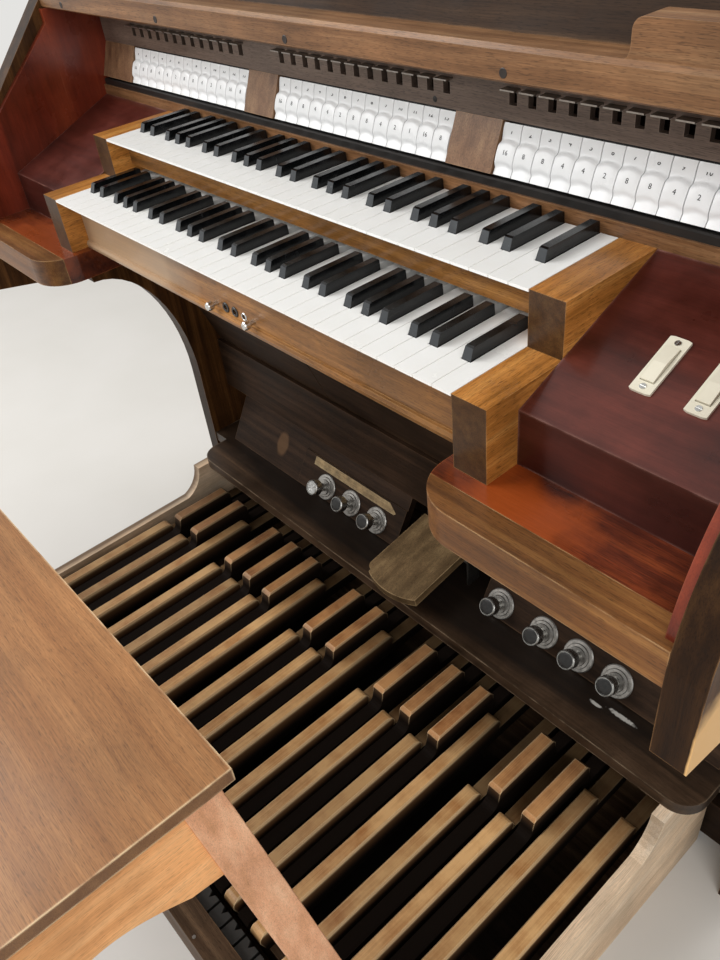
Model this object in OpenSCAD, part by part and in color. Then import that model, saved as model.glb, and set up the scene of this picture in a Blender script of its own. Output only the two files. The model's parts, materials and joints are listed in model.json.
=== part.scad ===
// Two-manual organ console with pedalboard, stop tabs, toe pistons, swell shoe and bench.
// Millimetres. X runs from the bass side to the treble side, Y away from the player, Z up.
// Depths are measured from the front edge of the lower manual, heights from the floor.

/* [Manuals] */
// Width of one natural key with its gap
natural_pitch = 23.5; // [22.5:0.1:24.5]
// Number of natural keys on each manual
natural_count = 33; // [29:1:36]
// Height of the lower manual's playing surface above the floor
manual_height = 940; // [900:5:980]
// Rise from the lower manual to the upper one
manual_rise = 57; // [54:1:66]
// Distance that the upper manual is set back
manual_setback = 100; // [96:1:110]
// Playing depth of a natural in front of the sharps
natural_head = 48; // [44:1:52]
// Gap between neighbouring keys
key_gap = 1; // [0.6:0.1:1.4]
// Height of a key lever
lever_h = 22; // [18:1:24]
// Height of a sharp above the naturals
sharp_h = 12; // [10:0.5:13]
// Width of a sharp at its foot
sharp_w = 11; // [9.5:0.5:12]
// Visible depth of the upper manual's keys
upper_key_depth = 131; // [125:1:140]
// Width of the key cheeks
cheek_w = 40; // [30:1:48]
// Height of the lower cheeks above the side shelves
cheek_h = 80; // [76:1:90]
// Thickness of the key slips
slip_t = 14; // [10:1:16]
// Distance that the slips stand back under the keys' front edges
slip_recess = 30; // [20:1:34]

/* [Case] */
// Clearance between the pedalboard's bass cheek and the end panel beside it
pedal_clear = 37.75; // [32:0.25:60]
// Thickness of the end panels
panel_t = 32; // [24:1:40]
// Reach of the end panels in front of the lower manual
panel_reach = 54; // [46:1:70]
// Depth of the lower case's front behind the lower manual's front
knee_depth = 276; // [262:2:290]
// Depth of the case's back behind the lower manual's front
case_depth = 540; // [520:5:620]
// Height of the case above the fascia board
upper_case_h = 73; // [64:1:100]
// Thickness of the top board
top_t = 24; // [18:1:30]
// Lean of the end panels' front edges from upright
brow_lean = 44; // [40:1:46]
// Height of the knee arch in the end panels
arch_h = 278; // [220:2:320]
// Thickness of the back panel
back_t = 16; // [12:1:20]
// Height of the plinth
plinth_h = 90; // [60:5:120]
// Thickness of the plinth's walls
plinth_wall_t = 24; // [16:1:30]
// Depth of the fascia's front edge behind the lower manual's front
fascia_front = 168; // [160:2:180]
// Rise from the lower manual to the underside of the fascia board
fascia_rise = 197; // [190:1:204]
// Thickness of the fascia board
fascia_t = 30; // [24:1:36]
// Thickness of the red side linings
lining_t = 10; // [6:1:14]
// Distance of the sloping desk's foot behind the fascia's front
desk_set = 40; // [38:1:60]
// Thickness of the sloping desk, measured along the fascia
desk_t = 20; // [14:1:26]
// Height of the two ledges on the fascia board
desk_ledge_h = 30; // [20:1:40]
// Depth of the two ledges on the fascia board
desk_ledge_d = 36; // [24:1:37]

/* [Side shelves and boxes] */
// Thickness of the side shelves
shelf_t = 40; // [30:1:44]
// Radius of the shelves' inner front corners
shelf_corner_r = 52; // [40:1:60]
// Width of the plain front strip of a side shelf
lipping_w = 32; // [24:1:40]
// Depth of the red boxes' upright fronts behind the lower manual's front
box_front = 41; // [32:1:50]
// Height of the red boxes' upright fronts
box_face_h = 59; // [50:1:64]

/* [Stop tabs] */
// Number of tabs in each of the three groups
tab_count = 13; // [9:1:13]
// Width of one tab with its gap
tab_pitch = 24.2; // [23:0.1:24.2]
// Width of the wooden posts between the groups
mullion_w = 67; // [60:1:72]
// Height of a tab along its face
tab_h = 52; // [48:1:54]
// Lean of the tabs from upright
tab_lean = 22; // [18:1:26]
// Height of the setter slots
slot_h = 15; // [12:1:18]
// Width of the setter slots
slot_w = 10; // [7:0.5:12]

/* [Knee side] */
// Height of the toe ledge's top above the floor
ledge_z = 255; // [245:1:275]
// Thickness of the toe ledge
ledge_t = 22; // [18:1:26]
// Depth of the toe ledge's front edge behind the lower manual's front
ledge_front = 207; // [200:1:222]
// Width of the toe ledge
ledge_w = 1202; // [1180:2:1240]
// Lean of the toe boards from upright
toe_lean = 30; // [26:1:34]
// Height of the toe boards along their face
toe_board_h = 118; // [108:1:126]
// Radius of a toe piston's head
piston_r = 15.4; // [13:0.1:17]
// Radius of the stepped rosette round a toe piston
rosette_r = 26.4; // [22:0.1:30]
// Travel of a toe piston
piston_travel = 6; // [4:0.5:7]
// Width of the swell shoe
shoe_w = 120; // [100:1:126]
// Length of the swell shoe
shoe_l = 164; // [140:2:172]
// Bulge of the swell shoe's front edge
shoe_bulge = 16; // [8:1:22]
// Thickness of the swell shoe
shoe_t = 16; // [12:1:18]
// Height of the rail above the toe boards
knee_rail_h = 113; // [90:1:130]
// Lean of the knee board above the rail, with its top nearer the player
knee_lean = 21.7; // [16:0.1:25]

/* [Pedalboard] */
// Distance between neighbouring natural pedals
pedal_pitch = 63.5; // [62:0.1:64]
// Height of the natural pedals' tops above the floor
pedal_z = 172; // [165:1:180]
// Width of a pedal bar
pedal_w = 23; // [20:0.5:24]
// Height of a natural pedal bar
pedal_h = 46; // [40:1:50]
// Height of the sharp pedals' blocks above the naturals
block_rise = 25; // [20:1:28]
// Length of a sharp pedal's block
block_l = 122; // [110:1:126]
// Sideways shift of the pedalboard towards the bass
pedal_shift = 15; // [0:1:16]
// Thickness of the pedalboard's cheeks
pedal_cheek_t = 20; // [18:1:24]

/* [Bench] */
// Length of the bench top
bench_l = 786; // [740:2:800]
// Depth of the bench top
bench_d = 328; // [300:2:340]
// Height of the bench top above the floor
bench_z = 680; // [660:5:700]
// Thickness of the bench top
bench_t = 18; // [14:1:22]
// Outward rake of the bench's two ends from upright
bench_rake = 25.7; // [25.2:0.1:28]
// Splay of the bench's legs in the plane of each end
leg_splay = 5.3; // [4.8:0.1:6]
// Width of a bench leg at the top
bench_leg_w = 41; // [36:1:46]
// Thickness of the bench's ends
bench_end_t = 22; // [18:1:24]

/* [Hidden] */
$fn = 48;

seat = 0.3;
eps = 0.01;

pedal_naturals_n = 18;
pedal_side_gap = 19;
pedal_inner_half = (pedal_naturals_n - 1) * pedal_pitch / 2 + pedal_w / 2 + pedal_side_gap;
inside_half = pedal_inner_half + pedal_cheek_t + pedal_shift + pedal_clear;
inside_w = 2 * inside_half;
case_half = inside_half + panel_t;
manual_half = natural_count * natural_pitch / 2;
cheek_outer = manual_half + cheek_w;

bench_front = -284;
bench_mid_y = bench_front - bench_d / 2;
bench_inset = 14;
bench_overhang = 10;
bench_slant = (bench_z - bench_t) / cos(bench_rake);
bench_foot_x = bench_l / 2 - bench_overhang + bench_slant * sin(bench_rake);
bench_foot_y = bench_d / 2 - bench_inset + bench_slant * tan(leg_splay);
origin_x = (max(case_half, bench_foot_x - pedal_shift) - max(case_half, bench_foot_x + pedal_shift)) / 2;
origin_y = (bench_mid_y - bench_foot_y + case_depth) / 2;
fascia_foot = manual_height + fascia_rise;
fascia_top = fascia_foot + fascia_t;
case_height = fascia_top + upper_case_h;
upper_z = manual_height + manual_rise;
shelf_z = manual_height - cheek_h;

// Pieces are laid out from the middle of the lower manual's front and drawn about the middle of the whole.
module placed() {
    translate([-origin_x, -origin_y, 0]) children();
}

// Extrudes an outline drawn as depth and height along X, from x0 over a width.
module sideways(x0, width) {
    translate([x0, 0, 0])
        rotate([90, 0, 90]) linear_extrude(width) children();
}

module both_sides() {
    children();
    mirror([1, 0, 0]) children();
}

function arc(centre, r, a0, a1, steps) = [
    for (i = [0 : steps])
        let (a = a0 + (a1 - a0) * i / steps) [centre[0] + r * cos(a), centre[1] + r * sin(a)]
];

// The quarter of an oval from its back to its top.
function oval_arc(centre, rx, ry, steps) = [
    for (i = [0 : steps])
        let (a = 90 * i / steps) [centre[0] + rx * cos(a), centre[1] + ry * sin(a)]
];

// End panels

panel_front = -panel_reach;
arch_top = shelf_z - shelf_t - 128;
brow_start = shelf_z - 35;
brow_r = 236;
brow_end = [panel_front + brow_r * (1 - cos(brow_lean)), brow_start + brow_r * sin(brow_lean)];
brow_top = [brow_end[0] + (case_height - brow_end[1]) * tan(brow_lean), case_height];
nose_z = arch_top + 52;
arch_d = 164;

module panel_outline() {
    polygon(concat(
        [[panel_front, nose_z]],
        arc([panel_front + brow_r, brow_start], brow_r, 180, 180 - brow_lean, 10),
        [brow_top, [case_depth, case_height], [case_depth, 0], [knee_depth, 0]],
        oval_arc([knee_depth - arch_d, arch_top - arch_h], arch_d, arch_h, 14),
        [[knee_depth - arch_d - 4, arch_top + 16], [knee_depth - arch_d - 13, arch_top + 22]]
    ));
}

module end_panels() {
    color("saddlebrown") placed() both_sides()
        sideways(inside_half, panel_t) panel_outline();
}

lining_back = 8;

module side_linings() {
    shift = [lining_back, 0];
    color("brown") placed() both_sides() sideways(inside_half - lining_t, lining_t - eps)
        polygon(concat(
            [for (p = arc([panel_front + brow_r, brow_start], brow_r, 180 - 9, 180 - brow_lean, 8)) p + shift],
            [[fascia_front - 5, fascia_foot - 20], [fascia_front - 5, shelf_z], [panel_front + 11, shelf_z]]
        ));
}

// Case

plinth_front = knee_depth + 70;

module back_panel() {
    color("sienna") placed()
        translate([-inside_half, case_depth - back_t, plinth_h])
            cube([inside_w, back_t, case_height - top_t - plinth_h]);
}

module plinth() {
    color("saddlebrown") placed()
        translate([-inside_half, plinth_front, 0])
            difference() {
                cube([inside_w, case_depth - plinth_front, plinth_h]);
                translate([plinth_wall_t, plinth_wall_t, plinth_wall_t])
                    cube([inside_w - 2 * plinth_wall_t, case_depth - plinth_front - 2 * plinth_wall_t, plinth_h]);
            }
}

stop_front = 255;

module top_board() {
    color("saddlebrown") placed()
        translate([-inside_half, brow_top[0] + 6, case_height - top_t])
            cube([inside_w, case_depth - brow_top[0] - 6, top_t]);
}

desk_lean = 30;
desk_ledge_lap = 14;
fascia_round = 4;
desk_h = upper_case_h - top_t;

// The sloping board between the fascia and the top board.
module music_desk() {
    foot = fascia_front + desk_set;
    color("sienna") placed()
        sideways(-inside_half + eps, inside_w - 2 * eps)
            polygon([
                [foot, fascia_top + eps], [foot + desk_t, fascia_top + eps],
                [foot + desk_t + desk_h * tan(desk_lean), fascia_top + desk_h - eps],
                [foot + desk_h * tan(desk_lean), fascia_top + desk_h - eps]
            ]);
}

module desk_ledges() {
    start = cheek_outer - desk_ledge_lap;
    front = fascia_front + fascia_round;
    color("peru") placed() both_sides()
        sideways(start, inside_half - eps - start)
            polygon([
                [front, fascia_top + eps], [fascia_front + desk_ledge_d, fascia_top + eps],
                [fascia_front + desk_ledge_d, fascia_top + desk_ledge_h],
                [front + fascia_round, fascia_top + desk_ledge_h],
                [front, fascia_top + desk_ledge_h - fascia_round]
            ]);
}

// Stop tabs and setters

group_w = tab_count * tab_pitch;
group_step = group_w + mullion_w;
group_centres = [-group_step, 0, group_step];
tab_foot_y = 238;
tab_foot_z = manual_height + 82;
tab_top_z = tab_foot_z + tab_h * cos(tab_lean);
tab_top_y = tab_foot_y + tab_h * sin(tab_lean);
tab_deep = 9;
slot_foot_z = tab_top_z + 18;
lever_w = 18;
lever_t = 1.5;
lever_play = 0.3;
stop_foot_z = tab_top_z + 3;

module fascia_board() {
    color("peru") placed()
        sideways(-inside_half + eps, inside_w - 2 * eps)
            polygon([
                [fascia_front, fascia_foot + 2], [fascia_front + 2, fascia_foot], [stop_front + 20, fascia_foot],
                [stop_front + 20, fascia_top], [fascia_front + fascia_round, fascia_top],
                [fascia_front, fascia_top - fascia_round]
            ]);
}

module slot_panel() {
    color("dimgray") placed()
        difference() {
            translate([-inside_half + lining_t, stop_front, stop_foot_z])
                cube([inside_w - 2 * lining_t, 8, fascia_foot - eps - stop_foot_z]);
            for (g = group_centres, i = [0 : tab_count - 1])
                translate([g + (i - (tab_count - 1) / 2) * tab_pitch, stop_front - 1, slot_foot_z]) {
                    translate([-slot_w / 2, 0, 0]) cube([slot_w, 10, slot_h]);
                    translate([-lever_w / 2 - lever_play, 0, slot_h - eps])
                        cube([lever_w + 2 * lever_play, 10, lever_t + 2 * lever_play + eps]);
                }
        }
}

module setter_levers() {
    bar_d = 6;
    color("silver") placed()
        for (g = group_centres) {
            translate([g - group_w / 2 + 1, stop_front + 8 + seat, slot_foot_z + slot_h - 6])
                cube([group_w - 2, bar_d, 6 + lever_play + lever_t]);
            for (i = [0 : tab_count - 1])
                translate([g + (i - (tab_count - 1) / 2) * tab_pitch - lever_w / 2, stop_front - 10,
                           slot_foot_z + slot_h + lever_play])
                    cube([lever_w, 10 + 8 + seat + 1, lever_t]);
        }
}

// A leaning board from the tab foot line: offset is measured back from the tabs' faces.
module leaning(x0, width, offset, thick, low, high) {
    c = cos(tab_lean);
    s = sin(tab_lean);
    sideways(x0, width)
        polygon([
            [tab_foot_y + low * s + offset * c, tab_foot_z + low * c - offset * s],
            [tab_foot_y + low * s + (offset + thick) * c, tab_foot_z + low * c - (offset + thick) * s],
            [tab_foot_y + high * s + (offset + thick) * c, tab_foot_z + high * c - (offset + thick) * s],
            [tab_foot_y + high * s + offset * c, tab_foot_z + high * c - offset * s]
        ]);
}

post_proud = 3;
post_t = 11.6;
post_top = tab_h + 1.5;

module tab_posts() {
    end_start = group_step + group_w / 2 + 1;
    color("sienna") placed() {
        for (side = [-1, 1])
            leaning(side * group_step / 2 - mullion_w / 2 + 1, mullion_w - 2, -post_proud, post_t, 0.5, post_top);
        both_sides()
            leaning(end_start, inside_half - lining_t - end_start, -post_proud, post_t, 0.5, post_top);
    }
}

module tab_recess() {
    color("black") placed() {
        leaning(-inside_half + lining_t, inside_w - 2 * lining_t, tab_deep + seat, 8, 1, tab_h + 3);
        sideways(-inside_half + lining_t, inside_w - 2 * lining_t)
            polygon([
                [tab_foot_y - 3, tab_foot_z - 11], [tab_foot_y + 22, tab_foot_z - 11],
                [tab_foot_y + 22, tab_foot_z - 5.5], [tab_foot_y - 1, tab_foot_z - 2],
                [tab_foot_y - 3, tab_foot_z - 3.5]
            ]);
    }
}

tab_rail_t = 24;

module tab_rail() {
    color("sienna") placed()
        translate([-inside_half + lining_t, manual_setback + upper_key_depth + 1, shelf_z])
            cube([inside_w - 2 * lining_t, tab_rail_t, tab_foot_z - 11 - eps - shelf_z]);
}

// Relief of a tab's face in front of its plane, from its top at 0 to its foot at 1.
function tab_relief(t) =
    t < 0.30 ? 0.5 + 1.0 * cos(180 * t / 0.30)
    : t < 0.36 ? 3.6 * (t - 0.30) / 0.06 - 0.5
    : t < 0.72 ? 3.1 + 0.7 * sin(180 * (t - 0.36) / 0.36)
    : t < 0.90 ? 1.4 + 1.7 * cos(180 * (t - 0.72) / 0.18)
    : -0.3 + 1.8 * (t - 0.90) / 0.10;

tab_steps = [0, 0.08, 0.16, 0.23, 0.30, 0.36, 0.45, 0.54, 0.63, 0.72, 0.76, 0.81, 0.86, 0.90, 1];

module tab_outline() {
    c = cos(tab_lean);
    s = sin(tab_lean);
    function at(along, out) = [tab_foot_y + along * s - out * c, tab_foot_z + along * c + out * s];
    polygon(concat(
        [for (t = tab_steps) at(1 + (tab_h - 1) * (1 - t), tab_relief(t))],
        [at(1, -tab_deep), at(tab_h, -tab_deep)]
    ));
}

module tab_group(centre) {
    for (i = [0 : tab_count - 1])
        sideways(centre + (i - (tab_count - 1) / 2) * tab_pitch - tab_pitch / 2 + 0.6, tab_pitch - 1.2)
            tab_outline();
}

module stop_tabs() {
    color("white") placed()
        for (g = group_centres) tab_group(g);
}

// Keys

// Sideways offsets of the five sharps of an octave from the octave's left edge, in natural widths.
sharp_offsets = [0.902, 2.098, 3.855, 5, 6.145];
// For each natural of an octave, the sharps on its left and right, as places in sharp_offsets.
natural_sharps = [[-1, 0], [0, 1], [1, -1], [-1, 2], [2, 3], [3, 4], [4, -1]];

function sharp_x(i) = (floor(i / 5) * 7 + sharp_offsets[i % 5]) * natural_pitch - manual_half;
function sharps_in(count) = floor(count / 7) * 5 + [0, 0, 1, 2, 2, 3, 4][count % 7];

// One natural: a wide head in front and a tail between the neighbouring sharps.
module natural_key(i, tail_end) {
    step = i % 7;
    octave = floor(i / 7);
    last = i == natural_count - 1;
    left_sharp = natural_sharps[step][0];
    right_sharp = last ? -1 : natural_sharps[step][1];
    x0 = i * natural_pitch - manual_half + key_gap / 2;
    x1 = x0 + natural_pitch - key_gap;
    tail_x0 = left_sharp < 0 ? x0 : sharp_x(octave * 5 + left_sharp) + sharp_w / 2 + key_gap;
    tail_x1 = right_sharp < 0 ? x1 : sharp_x(octave * 5 + right_sharp) - sharp_w / 2 - key_gap;
    lip = slip_recess + slip_t + 2;
    translate([0, 0, -lever_h])
        linear_extrude(lever_h)
            polygon([
                [x0, lip], [x1, lip], [x1, natural_head - key_gap], [tail_x1, natural_head - key_gap],
                [tail_x1, tail_end], [tail_x0, tail_end], [tail_x0, natural_head - key_gap],
                [x0, natural_head - key_gap]
            ]);
    translate([x0, 0, -3]) cube([x1 - x0, lip, 3]);
}

// One sharp: bevelled in front and tapered to its top.
module sharp_key(i, tail_end) {
    taper = 0.9;
    translate([sharp_x(i), 0, 0])
        intersection() {
            sideways(-sharp_w, 2 * sharp_w)
                polygon([
                    [natural_head, -lever_h], [tail_end, -lever_h], [tail_end, sharp_h - 1],
                    [tail_end - 2, sharp_h], [natural_head + 7, sharp_h], [natural_head + 4.5, sharp_h - 1],
                    [natural_head, 0]
                ]);
            translate([0, tail_end + 1, 0]) rotate([90, 0, 0]) linear_extrude(tail_end)
                polygon([
                    [-sharp_w / 2, -lever_h - 1], [sharp_w / 2, -lever_h - 1], [sharp_w / 2, 0],
                    [sharp_w / 2 - taper, sharp_h], [-sharp_w / 2 + taper, sharp_h], [-sharp_w / 2, 0]
                ]);
        }
}

module manual_naturals(tail_end) {
    for (i = [0 : natural_count - 1]) natural_key(i, tail_end);
}

module manual_sharps(tail_end) {
    for (i = [0 : sharps_in(natural_count) - 1]) sharp_key(i, tail_end);
}

lower_tail = manual_setback + upper_key_depth - 1;

module lower_naturals() {
    color("white") placed() translate([0, 0, manual_height]) manual_naturals(lower_tail);
}

module lower_sharps() {
    color("black") placed() translate([0, 0, manual_height]) manual_sharps(manual_setback + slip_recess - 2);
}

module upper_naturals() {
    color("white") placed() translate([0, manual_setback, upper_z]) manual_naturals(upper_key_depth - 1);
}

module upper_sharps() {
    color("black") placed() translate([0, manual_setback, upper_z]) manual_sharps(upper_key_depth - 1);
}

bead_h = 10;
slip_foot = shelf_z + bead_h;
bed_t = 28;

// The fixed frame of a manual: its bed and the front and back rails that the keys rest on.
module lower_key_frame() {
    bed_top = shelf_z + bed_t;
    rail_h = manual_height - lever_h - bed_top - seat;
    placed() {
        translate([-manual_half, slip_recess + slip_t + seat, shelf_z])
            cube([2 * manual_half, lower_tail - slip_recess - slip_t - seat, bed_t]);
        for (y = [slip_recess + slip_t + 10, lower_tail - 40])
            translate([-manual_half + 1, y, bed_top - 1]) cube([2 * manual_half - 2, 18, rail_h + 1]);
    }
}

module upper_key_frame() {
    bed_foot = manual_height + sharp_h + 3;
    bed_top = bed_foot + 8;
    rail_h = upper_z - lever_h - bed_top - seat;
    placed() {
        translate([-manual_half + seat, manual_setback + slip_recess + slip_t + seat, bed_foot])
            cube([2 * (manual_half - seat), upper_key_depth - slip_recess - slip_t - seat, 8]);
        for (y = [manual_setback + slip_recess + slip_t + 10, manual_setback + upper_key_depth - 30])
            translate([-manual_half + 1, y, bed_top - 1]) cube([2 * manual_half - 2, 14, rail_h + 1]);
    }
}

module key_frames() {
    color("tan") {
        lower_key_frame();
        upper_key_frame();
    }
}

thumb_r = 5.5;
thumb_stem_r = 3;
thumb_travel = 3;
thumb_y = slip_recess;
thumb_z = slip_foot + 7;
thumb_spacing = 19.4;
thumb_count = 5;
thumb_first = -(thumb_count - 1) * thumb_spacing / 2;

module lower_key_slip() {
    placed()
        difference() {
            sideways(-manual_half, 2 * manual_half)
                polygon([
                    [slip_recess, manual_height - 3 - seat], [slip_recess, slip_foot],
                    [slip_recess - 3, slip_foot - 1], [slip_recess - 5, slip_foot - 5],
                    [slip_recess - 4, slip_foot - bead_h], [slip_recess + slip_t, slip_foot - bead_h],
                    [slip_recess + slip_t, manual_height - 3 - seat]
                ]);
            for (i = [0 : thumb_count - 1])
                translate([thumb_first + i * thumb_spacing, thumb_y - 1, thumb_z])
                    rotate([-90, 0, 0]) cylinder(h = slip_t + 4, r = thumb_stem_r + 0.3);
        }
}

module upper_key_slip() {
    placed()
        translate([-manual_half, manual_setback + slip_recess, manual_height + sharp_h + 1])
            cube([2 * manual_half, slip_t, manual_rise - sharp_h - 4 - seat]);
}

module key_slips() {
    color("burlywood") {
        lower_key_slip();
        upper_key_slip();
    }
}

// A thumb piston: a round head in front of the slip and a stem through it.
module thumb_piston(i) {
    head_foot = thumb_travel + 5;
    stem_end = thumb_travel - slip_t;
    color("silver") placed()
        translate([thumb_first + i * thumb_spacing, thumb_y, thumb_z]) rotate([90, 0, 0])
            rotate_extrude()
                polygon([
                    [0, stem_end], [thumb_stem_r, stem_end], [thumb_stem_r, head_foot], [thumb_r, head_foot],
                    [thumb_r, head_foot + 6], [thumb_r - 1.2, head_foot + 7.5], [0, head_foot + 7.5]
                ]);
}

module thumb_piston_1() {
    thumb_piston(0);
}

module thumb_piston_2() {
    thumb_piston(thumb_count - 1);
}

module key_cheeks() {
    color("peru") placed() both_sides() {
        translate([manual_half + seat, 0, shelf_z + eps])
            cube([cheek_w - seat, manual_setback - seat, cheek_h]);
        translate([manual_half + seat, manual_setback, shelf_z + eps])
            cube([cheek_w - seat, upper_key_depth, cheek_h + manual_rise]);
    }
}

// Side shelves and red boxes

shelf_inner = manual_half - 13.5;
shelf_front = panel_front + 2;

module shelf_outline(y0, y1) {
    intersection() {
        translate([shelf_inner, y0]) square([inside_half - shelf_inner, y1 - y0]);
        union() {
            translate([shelf_inner, shelf_front + shelf_corner_r])
                square([inside_half - shelf_inner, knee_depth]);
            translate([shelf_inner + shelf_corner_r, shelf_front])
                square([inside_half - shelf_inner - shelf_corner_r, knee_depth]);
            translate([shelf_inner + shelf_corner_r, shelf_front + shelf_corner_r])
                circle(r = shelf_corner_r, $fn = 96);
        }
    }
}

module side_shelves() {
    color("chocolate") placed() both_sides()
        translate([0, 0, shelf_z - shelf_t]) linear_extrude(shelf_t - eps)
            shelf_outline(shelf_front + lipping_w, knee_depth - 20);
}

module shelf_lippings() {
    color("tan") placed() both_sides()
        translate([0, 0, shelf_z - shelf_t]) linear_extrude(shelf_t - eps)
            shelf_outline(shelf_front, shelf_front + lipping_w - eps);
}

box_back = manual_setback + upper_key_depth + 1;
box_top_z = manual_height + 56;
box_slope = atan((box_top_z - shelf_z - box_face_h) / (box_back - box_front));
plate_l = 62;
plate_w = 20;
plate_t = 2.5;
rocker_l = 38;
rocker_w = 12;
rocker_gap = 0.8;
rocker_pin_r = 1.2;
rocker_pin_z = -1.5;
switch_xs = [cheek_outer + 79, cheek_outer + 129];
switch_along = 91;

// Moves children onto the right box's slope: X across, Y up the slope, Z out of it.
module on_slope(x) {
    translate([x, box_front, shelf_z + box_face_h]) rotate([box_slope, 0, 0])
        translate([0, switch_along, 0]) children();
}

module side_boxes() {
    color("darkred") placed() both_sides_boxes();
}

module both_sides_boxes() {
    mirror([1, 0, 0]) plain_box();
    difference() {
        plain_box();
        for (x = switch_xs)
            on_slope(x) translate([0, 0, -9])
                linear_extrude(10) square([rocker_w + 4, rocker_l + 4], center = true);
    }
}

module plain_box() {
    sideways(cheek_outer + eps, inside_half - lining_t - cheek_outer - 2 * eps)
        polygon([
            [box_front, shelf_z], [box_back - eps, shelf_z], [box_back - eps, box_top_z],
            [box_front, shelf_z + box_face_h]
        ]);
}

module plate_outline() {
    intersection() {
        square([plate_w, plate_l], center = true);
        circle(r = plate_l / 2 + 0.6, $fn = 96);
    }
}

module switch_plates() {
    color("ivory") placed()
        for (x = switch_xs)
            on_slope(x) {
                linear_extrude(plate_t) difference() {
                    plate_outline();
                    square([rocker_w + 2 * rocker_gap, rocker_l + 2 * rocker_gap], center = true);
                }
                translate([-rocker_w / 2 - 2 + eps, 0, rocker_pin_z])
                    rotate([0, 90, 0]) cylinder(h = rocker_w + 4 - 2 * eps, r = rocker_pin_r);
            }
}

// A rocker on its own cross axis, level with the plate's face.
module rocker(x) {
    color("ivory") placed() on_slope(x)
        difference() {
            sideways(-rocker_w / 2, rocker_w)
                polygon([
                    [-rocker_l / 2, 0.5], [-rocker_l / 4, -4], [rocker_l / 4, -4], [rocker_l / 2, 0.5],
                    [rocker_l / 2, plate_t + 1.5], [0, plate_t + 3.5], [-rocker_l / 2, plate_t + 1.5]
                ]);
            translate([-rocker_w, 0, rocker_pin_z])
                rotate([0, 90, 0]) cylinder(h = 2 * rocker_w, r = rocker_pin_r + 0.1);
        }
}

module inner_rocker() {
    rocker(switch_xs[0]);
}

module outer_rocker() {
    rocker(switch_xs[1]);
}

// Knee side

toe_foot_y = 290;
toe_board_t = 18;
toe_board_end = 55;
shoe_x = 31;
toe_rise = toe_board_h * cos(toe_lean);
toe_set = toe_board_h * sin(toe_lean);

module toe_ledge() {
    corner = 40;
    color("saddlebrown") placed()
        translate([0, 0, ledge_z - ledge_t]) linear_extrude(ledge_t) {
            translate([-ledge_w / 2, ledge_front + corner]) square([ledge_w, knee_depth + 3 - ledge_front - corner]);
            translate([-inside_half + eps, knee_depth + 2])
                square([inside_w - 2 * eps, toe_foot_y + 70 - knee_depth]);
            translate([-ledge_w / 2 + corner, ledge_front]) square([ledge_w - 2 * corner, corner + 1]);
            for (side = [-1, 1])
                translate([side * (ledge_w / 2 - corner), ledge_front + corner]) circle(r = corner, $fn = 96);
        }
}

// Places children on the toe boards' face: X across, Y up the board, Z out towards the player.
module on_toe_board(x, up) {
    translate([x, toe_foot_y, ledge_z]) rotate([90 - toe_lean, 0, 0])
        translate([0, up, 0]) children();
}

piston_xs = [-273, -198, -124, 184.5, 274.5, 342, 412];
piston_up = 29;
stem_r = 8;
bore_r = stem_r + 0.3;
rosette_t = 7;
panel_spans = [[-356, -62], [150, 485]];
piston_panel_t = 3;
piston_panel_h = 74;

module toe_boards() {
    end = inside_half - toe_board_end;
    spans = [[-end, panel_spans[0][1]], [panel_spans[1][0], end]];
    face = piston_panel_t / cos(toe_lean);
    back = toe_board_t / cos(toe_lean);
    color("saddlebrown") placed()
        difference() {
            for (side = [0, 1]) {
                sideways(spans[side][0], spans[side][1] - spans[side][0])
                    polygon([
                        [toe_foot_y + face, ledge_z + eps], [toe_foot_y + face + toe_set, ledge_z + toe_rise],
                        [toe_foot_y + back + toe_set, ledge_z + toe_rise], [toe_foot_y + back, ledge_z + eps]
                    ]);
                on_toe_board(panel_spans[side][0], 4)
                    translate([0, 0, -piston_panel_t - 1])
                        cube([panel_spans[side][1] - panel_spans[side][0], piston_panel_h, piston_panel_t + 1]);
            }
            for (x = piston_xs)
                on_toe_board(x, piston_up)
                    translate([0, 0, -toe_board_t - 1]) cylinder(h = toe_board_t + 2, r = bore_r);
        }
}

module piston_rosettes() {
    color("silver") placed()
        for (x = piston_xs)
            on_toe_board(x, piston_up) rotate_extrude()
                polygon([
                    [bore_r, 0], [rosette_r, 0], [rosette_r, 1.5], [rosette_r - 1.5, 3], [rosette_r - 6, 3.4],
                    [rosette_r - 7, 5], [rosette_r - 11, 5.4], [rosette_r - 12, rosette_t], [bore_r, rosette_t]
                ]);
}

piston_head_h = 14;
piston_ribs = 3;
rib_pitch = 4;
rib_h = 1.2;

// A toe piston: a rimmed head on a ribbed stem that slides through its rosette.
module toe_piston(i) {
    rib_foot = rosette_t + piston_travel + 0.5;
    head_foot = rib_foot + piston_ribs * rib_pitch;
    head_top = head_foot + piston_head_h;
    color("silver") placed()
        on_toe_board(piston_xs[i], piston_up) rotate_extrude()
            polygon(concat(
                [[0, -toe_board_t], [stem_r, -toe_board_t]],
                [for (k = [0 : piston_ribs - 1], step = [[0, 0], [rib_h, 0.2], [rib_h, 0.6], [0, 0.8]])
                    [stem_r + step[0], rib_foot + (k + step[1]) * rib_pitch]],
                [[stem_r, head_foot], [piston_r, head_foot], [piston_r, head_top], [piston_r - 1.5, head_top + 1.5],
                 [piston_r - 2.5, head_top + 1.5], [piston_r - 3, head_top], [0, head_top]]
            ));
}

module toe_piston_1() {
    toe_piston(0);
}

module toe_piston_2() {
    toe_piston(1);
}

module toe_piston_3() {
    toe_piston(2);
}

module toe_piston_4() {
    toe_piston(3);
}

module toe_piston_5() {
    toe_piston(4);
}

module toe_piston_6() {
    toe_piston(5);
}

module toe_piston_7() {
    toe_piston(6);
}

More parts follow.
